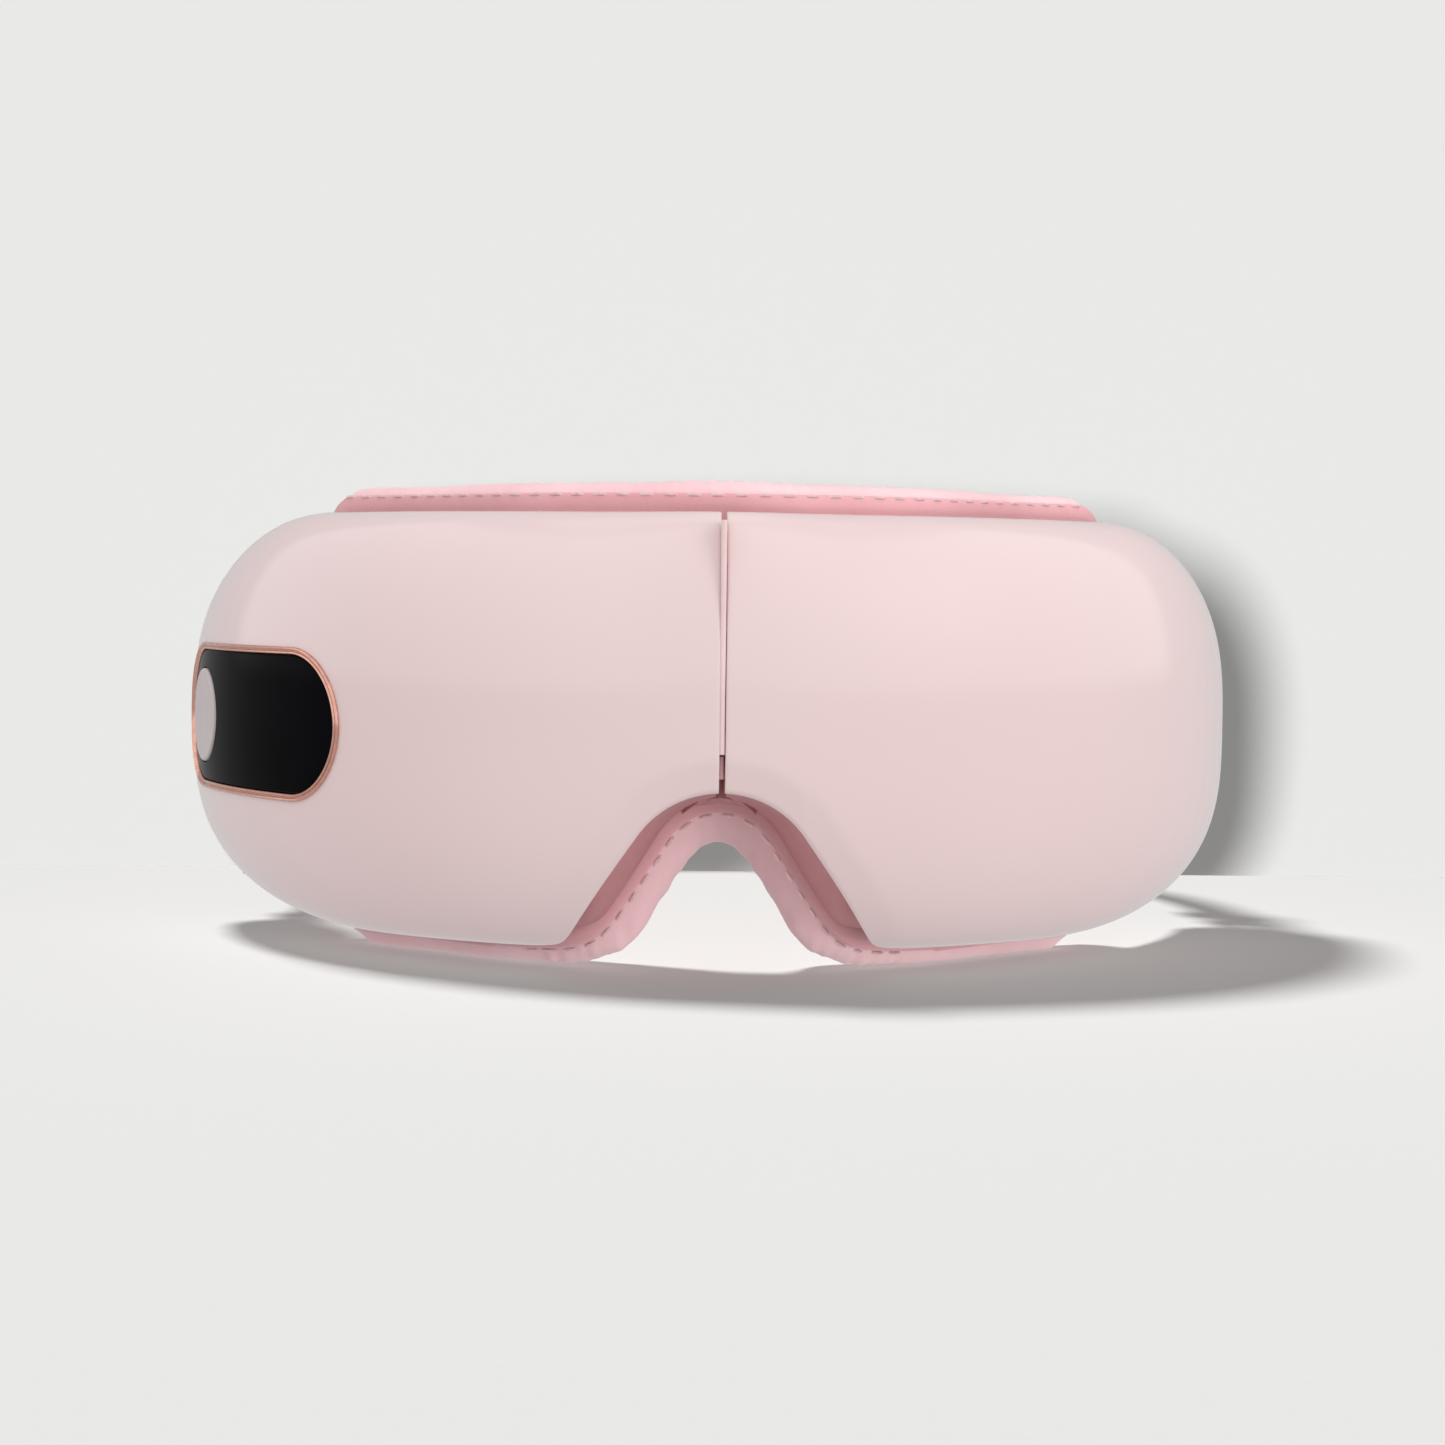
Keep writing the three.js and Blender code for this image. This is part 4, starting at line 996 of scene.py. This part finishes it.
camera.data.clip_start, camera.data.clip_end = 0.01, 20
scene.camera = camera

# ---- stage and light
FLOOR_BACK, COVE = 0.135, 0.05
BACKGROUND = (0.815, 0.815, 0.800)
SHADOW_SHARE, REFERENCE, FLOOR_REFERENCE, STAGE_REACH = 0.70, 0.30, 0.2, 1.6
WALL_LIGHT = eye + right_r * -0.042 + up_r * 0.023
FLOOR_LIGHT = Vector((-0.50, 0.45, 1.45))


def math_node(tree, op, a, b=None):
    n_ = tree.nodes.new("ShaderNodeMath")
    n_.operation = op
    for k, v in enumerate((a, b)):
        if v is None:
            continue
        if isinstance(v, (int, float)):
            n_.inputs[k].default_value = v
        else:
            tree.links.new(v, n_.inputs[k])
    return n_.outputs[0]


def vector_node(tree, op, a, b):
    n_ = tree.nodes.new("ShaderNodeVectorMath")
    n_.operation = op
    for k, v in enumerate((a, b)):
        if isinstance(v, (tuple, Vector)):
            n_.inputs[k].default_value = tuple(v)
        else:
            tree.links.new(v, n_.inputs[k])
    return n_.outputs["Value"] if op == "DOT_PRODUCT" else n_.outputs["Vector"]


def sweep_part(name, profile, light_at, share, reference):
    """A strip of the paper sweep: its albedo makes up for the light's falloff, and a glow fills the rest."""
    xs = np.linspace(-STAGE_REACH, STAGE_REACH, 65)
    verts = [(x, y, z) for y, z in profile for x in xs]
    n = len(xs)
    faces = [(i * n + j, i * n + j + 1, (i + 1) * n + j + 1, (i + 1) * n + j)
             for i in range(len(profile) - 1) for j in range(n - 1)]
    mesh = bpy.data.meshes.new(name)
    mesh.from_pydata(verts, [], faces)
    mesh.shade_smooth()
    part = linked(name, mesh)
    look = Look(name, BACKGROUND, 1.0)
    tree, bsdf = look.tree, look.bsdf
    bsdf.inputs["Specular IOR Level"].default_value = 0
    geometry = look.node("ShaderNodeNewGeometry")
    to_light = vector_node(tree, "SUBTRACT", light_at, geometry.outputs["Position"])
    square = vector_node(tree, "DOT_PRODUCT", to_light, to_light)
    toward = vector_node(tree, "DOT_PRODUCT", to_light, geometry.outputs["Normal"])
    falloff = math_node(tree, "DIVIDE", math_node(tree, "ABSOLUTE", toward), math_node(tree, "POWER", square, 1.5))
    albedo = math_node(tree, "DIVIDE", reference, math_node(tree, "MAXIMUM", falloff, 0.001))
    albedo = math_node(tree, "MINIMUM", albedo, 0.85)
    direct = math_node(tree, "MULTIPLY", math_node(tree, "MULTIPLY", albedo, falloff), share / reference)
    fill = math_node(tree, "MAXIMUM", math_node(tree, "SUBTRACT", 1.0, direct), 0.0)
    albedo_grain = math_node(tree, "MULTIPLY", albedo, look.ramp(look.noise(500, 3), 0.995, 1.005))
    tint_node = look.node("ShaderNodeVectorMath")
    tint_node.operation = "SCALE"
    tint_node.inputs[0].default_value = BACKGROUND
    look.link(albedo_grain, tint_node.inputs["Scale"])
    look.link(tint_node.outputs["Vector"], bsdf.inputs["Base Color"])
    bsdf.inputs["Emission Color"].default_value = (*BACKGROUND, 1)
    look.link(fill, bsdf.inputs["Emission Strength"])
    # The paper has a front only, so that it can be looked past from behind.
    mixer, clear = look.node("ShaderNodeMixShader"), look.node("ShaderNodeBsdfTransparent")
    output = next(n_ for n_ in tree.nodes if n_.type == "OUTPUT_MATERIAL")
    look.link(geometry.outputs["Backfacing"], mixer.inputs[0])
    look.link(bsdf.outputs[0], mixer.inputs[1])
    look.link(clear.outputs[0], mixer.inputs[2])
    look.link(mixer.outputs[0], output.inputs["Surface"])
    mesh.materials.append(look.mat)
    part.visible_diffuse = part.visible_glossy = part.visible_shadow = False
    return part


cove = [(FLOOR_BACK - COVE + COVE * math.sin(u), COVE - COVE * math.cos(u)) for u in np.linspace(0, math.pi / 2, 18)]
floor_part = sweep_part("floor", [(y, 0.0) for y in np.linspace(-STAGE_REACH, FLOOR_BACK - COVE, 34)],
                        FLOOR_LIGHT, SHADOW_SHARE, FLOOR_REFERENCE)
wall_part = sweep_part("backdrop", cove + [(FLOOR_BACK, COVE + 0.05 * i) for i in range(1, 30)],
                       WALL_LIGHT, SHADOW_SHARE, REFERENCE)

world = bpy.data.worlds.new("world")
scene.world = world
world.use_nodes = True
world.node_tree.nodes["Background"].inputs["Color"].default_value = (0, 0, 0, 1)

# The light tent: a sphere round the object, with a wide window in front and a faint roof.
TENT_RADIUS = 1.0
TENT_BELOW, TENT_ABOVE, WINDOW, ROOF, RIGHT_GAIN = 0.64, 0.60, 0.56, 0.35, 0.02
bm = bmesh.new()
bmesh.ops.create_icosphere(bm, subdivisions=4, radius=TENT_RADIUS)
tent_mesh = bpy.data.meshes.new("light_tent")
bm.to_mesh(tent_mesh)
bm.free()
tent = linked("light_tent", tent_mesh)
tent.location = (0, 0, 0.041)
tent.visible_shadow = False
tent_mat = bpy.data.materials.new("tent_light")
tent_mat.use_nodes = True
tree = tent_mat.node_tree
tree.nodes.clear()
glow, output = tree.nodes.new("ShaderNodeEmission"), tree.nodes.new("ShaderNodeOutputMaterial")
tree.links.new(glow.outputs[0], output.inputs["Surface"])
spot = tree.nodes.new("ShaderNodeTexCoord")
axes = tree.nodes.new("ShaderNodeSeparateXYZ")
tree.links.new(spot.outputs["Object"], axes.inputs[0])


def step(value, low, high, off, on):
    n_ = tree.nodes.new("ShaderNodeMapRange")
    n_.interpolation_type = "SMOOTHSTEP"
    tree.links.new(value, n_.inputs["Value"])
    for key, number in (("From Min", low), ("From Max", high), ("To Min", off), ("To Max", on)):
        n_.inputs[key].default_value = number
    return n_.outputs["Result"]


height = math_node(tree, "DIVIDE", axes.outputs["Z"], TENT_RADIUS)
azimuth = math_node(tree, "ARCTAN2", axes.outputs["X"], math_node(tree, "MULTIPLY", axes.outputs["Y"], -1.0))
base_light = step(height, -0.25, 0.15, TENT_BELOW, TENT_ABOVE)
window = math_node(tree, "MULTIPLY", step(height, 0.0, 0.05, 0, WINDOW), step(height, 0.84, 0.90, 1, 0))
window = math_node(tree, "MULTIPLY", window, step(azimuth, math.radians(-124), math.radians(-116), 0, 1))
window = math_node(tree, "MULTIPLY", window, step(azimuth, math.radians(108), math.radians(116), 1, 0))
roof = step(height, 0.93, 0.96, 0, ROOF)
side_gain = step(axes.outputs["X"], -TENT_RADIUS, TENT_RADIUS, 1 - RIGHT_GAIN, 1 + RIGHT_GAIN)
total_light = math_node(tree, "ADD", math_node(tree, "ADD", base_light, window), roof)
tree.links.new(math_node(tree, "MULTIPLY", total_light, side_gain), glow.inputs["Strength"])
tent_mesh.materials.append(tent_mat)

lit_floor, lit_wall, unlit_stage = (bpy.data.collections.new(n_) for n_ in ("lit_floor", "lit_wall", "unlit_stage"))
lit_floor.objects.link(floor_part)
lit_wall.objects.link(wall_part)
for part in (floor_part, wall_part):
    unlit_stage.objects.link(part)
for entry in unlit_stage.collection_objects:
    entry.light_linking.link_state = "EXCLUDE"
tent.light_linking.receiver_collection = unlit_stage


def light(name, kind, location, aim, power, size=None, size_y=None, receivers=unlit_stage):
    data = bpy.data.lights.new(name, kind)
    data.energy = power
    if kind == "AREA":
        data.shape = "RECTANGLE"
        data.size, data.size_y = size, size_y or size
    else:
        data.shadow_soft_size = size
    obj = linked(name, data)
    obj.location = location
    obj.rotation_euler = (Vector(aim) - Vector(location)).to_track_quat("-Z", "Y").to_euler()
    obj.light_linking.receiver_collection = receivers
    return obj


middle = Vector((0, -0.06, 0.045))
light("key_box", "AREA", (0.50, -0.55, 0.30), middle, 1.0, 0.35, 0.35)
pad_set = bpy.data.collections.new("pad_set")
for piece in (ring_pad, backing):
    pad_set.objects.link(piece)
light("arch_box", "AREA", (0.32, -0.36, -0.02), Vector((0, -0.09, 0.02)), 0.55, 0.12, 0.12, receivers=pad_set)
light("pad_box", "AREA", (0.0, -0.25, 0.55), Vector((0, -0.09, 0.08)), 1.1, 0.5, 0.2, receivers=pad_set)
for name in ("key_box", "arch_box", "pad_box"):
    bpy.data.objects[name].visible_glossy = False
# 4 pi squared times the reference falloff turns a point light's watts into the share it adds to the sweep
WATTS = 4 * math.pi ** 2 * SHADOW_SHARE
light("wall_light", "POINT", WALL_LIGHT, middle, WATTS / REFERENCE, 0.03, receivers=lit_wall)
light("floor_light", "POINT", FLOOR_LIGHT, middle, WATTS / FLOOR_REFERENCE, 0.16, receivers=lit_floor)

scene.view_settings.view_transform = "Standard"
scene.view_settings.look = "None"
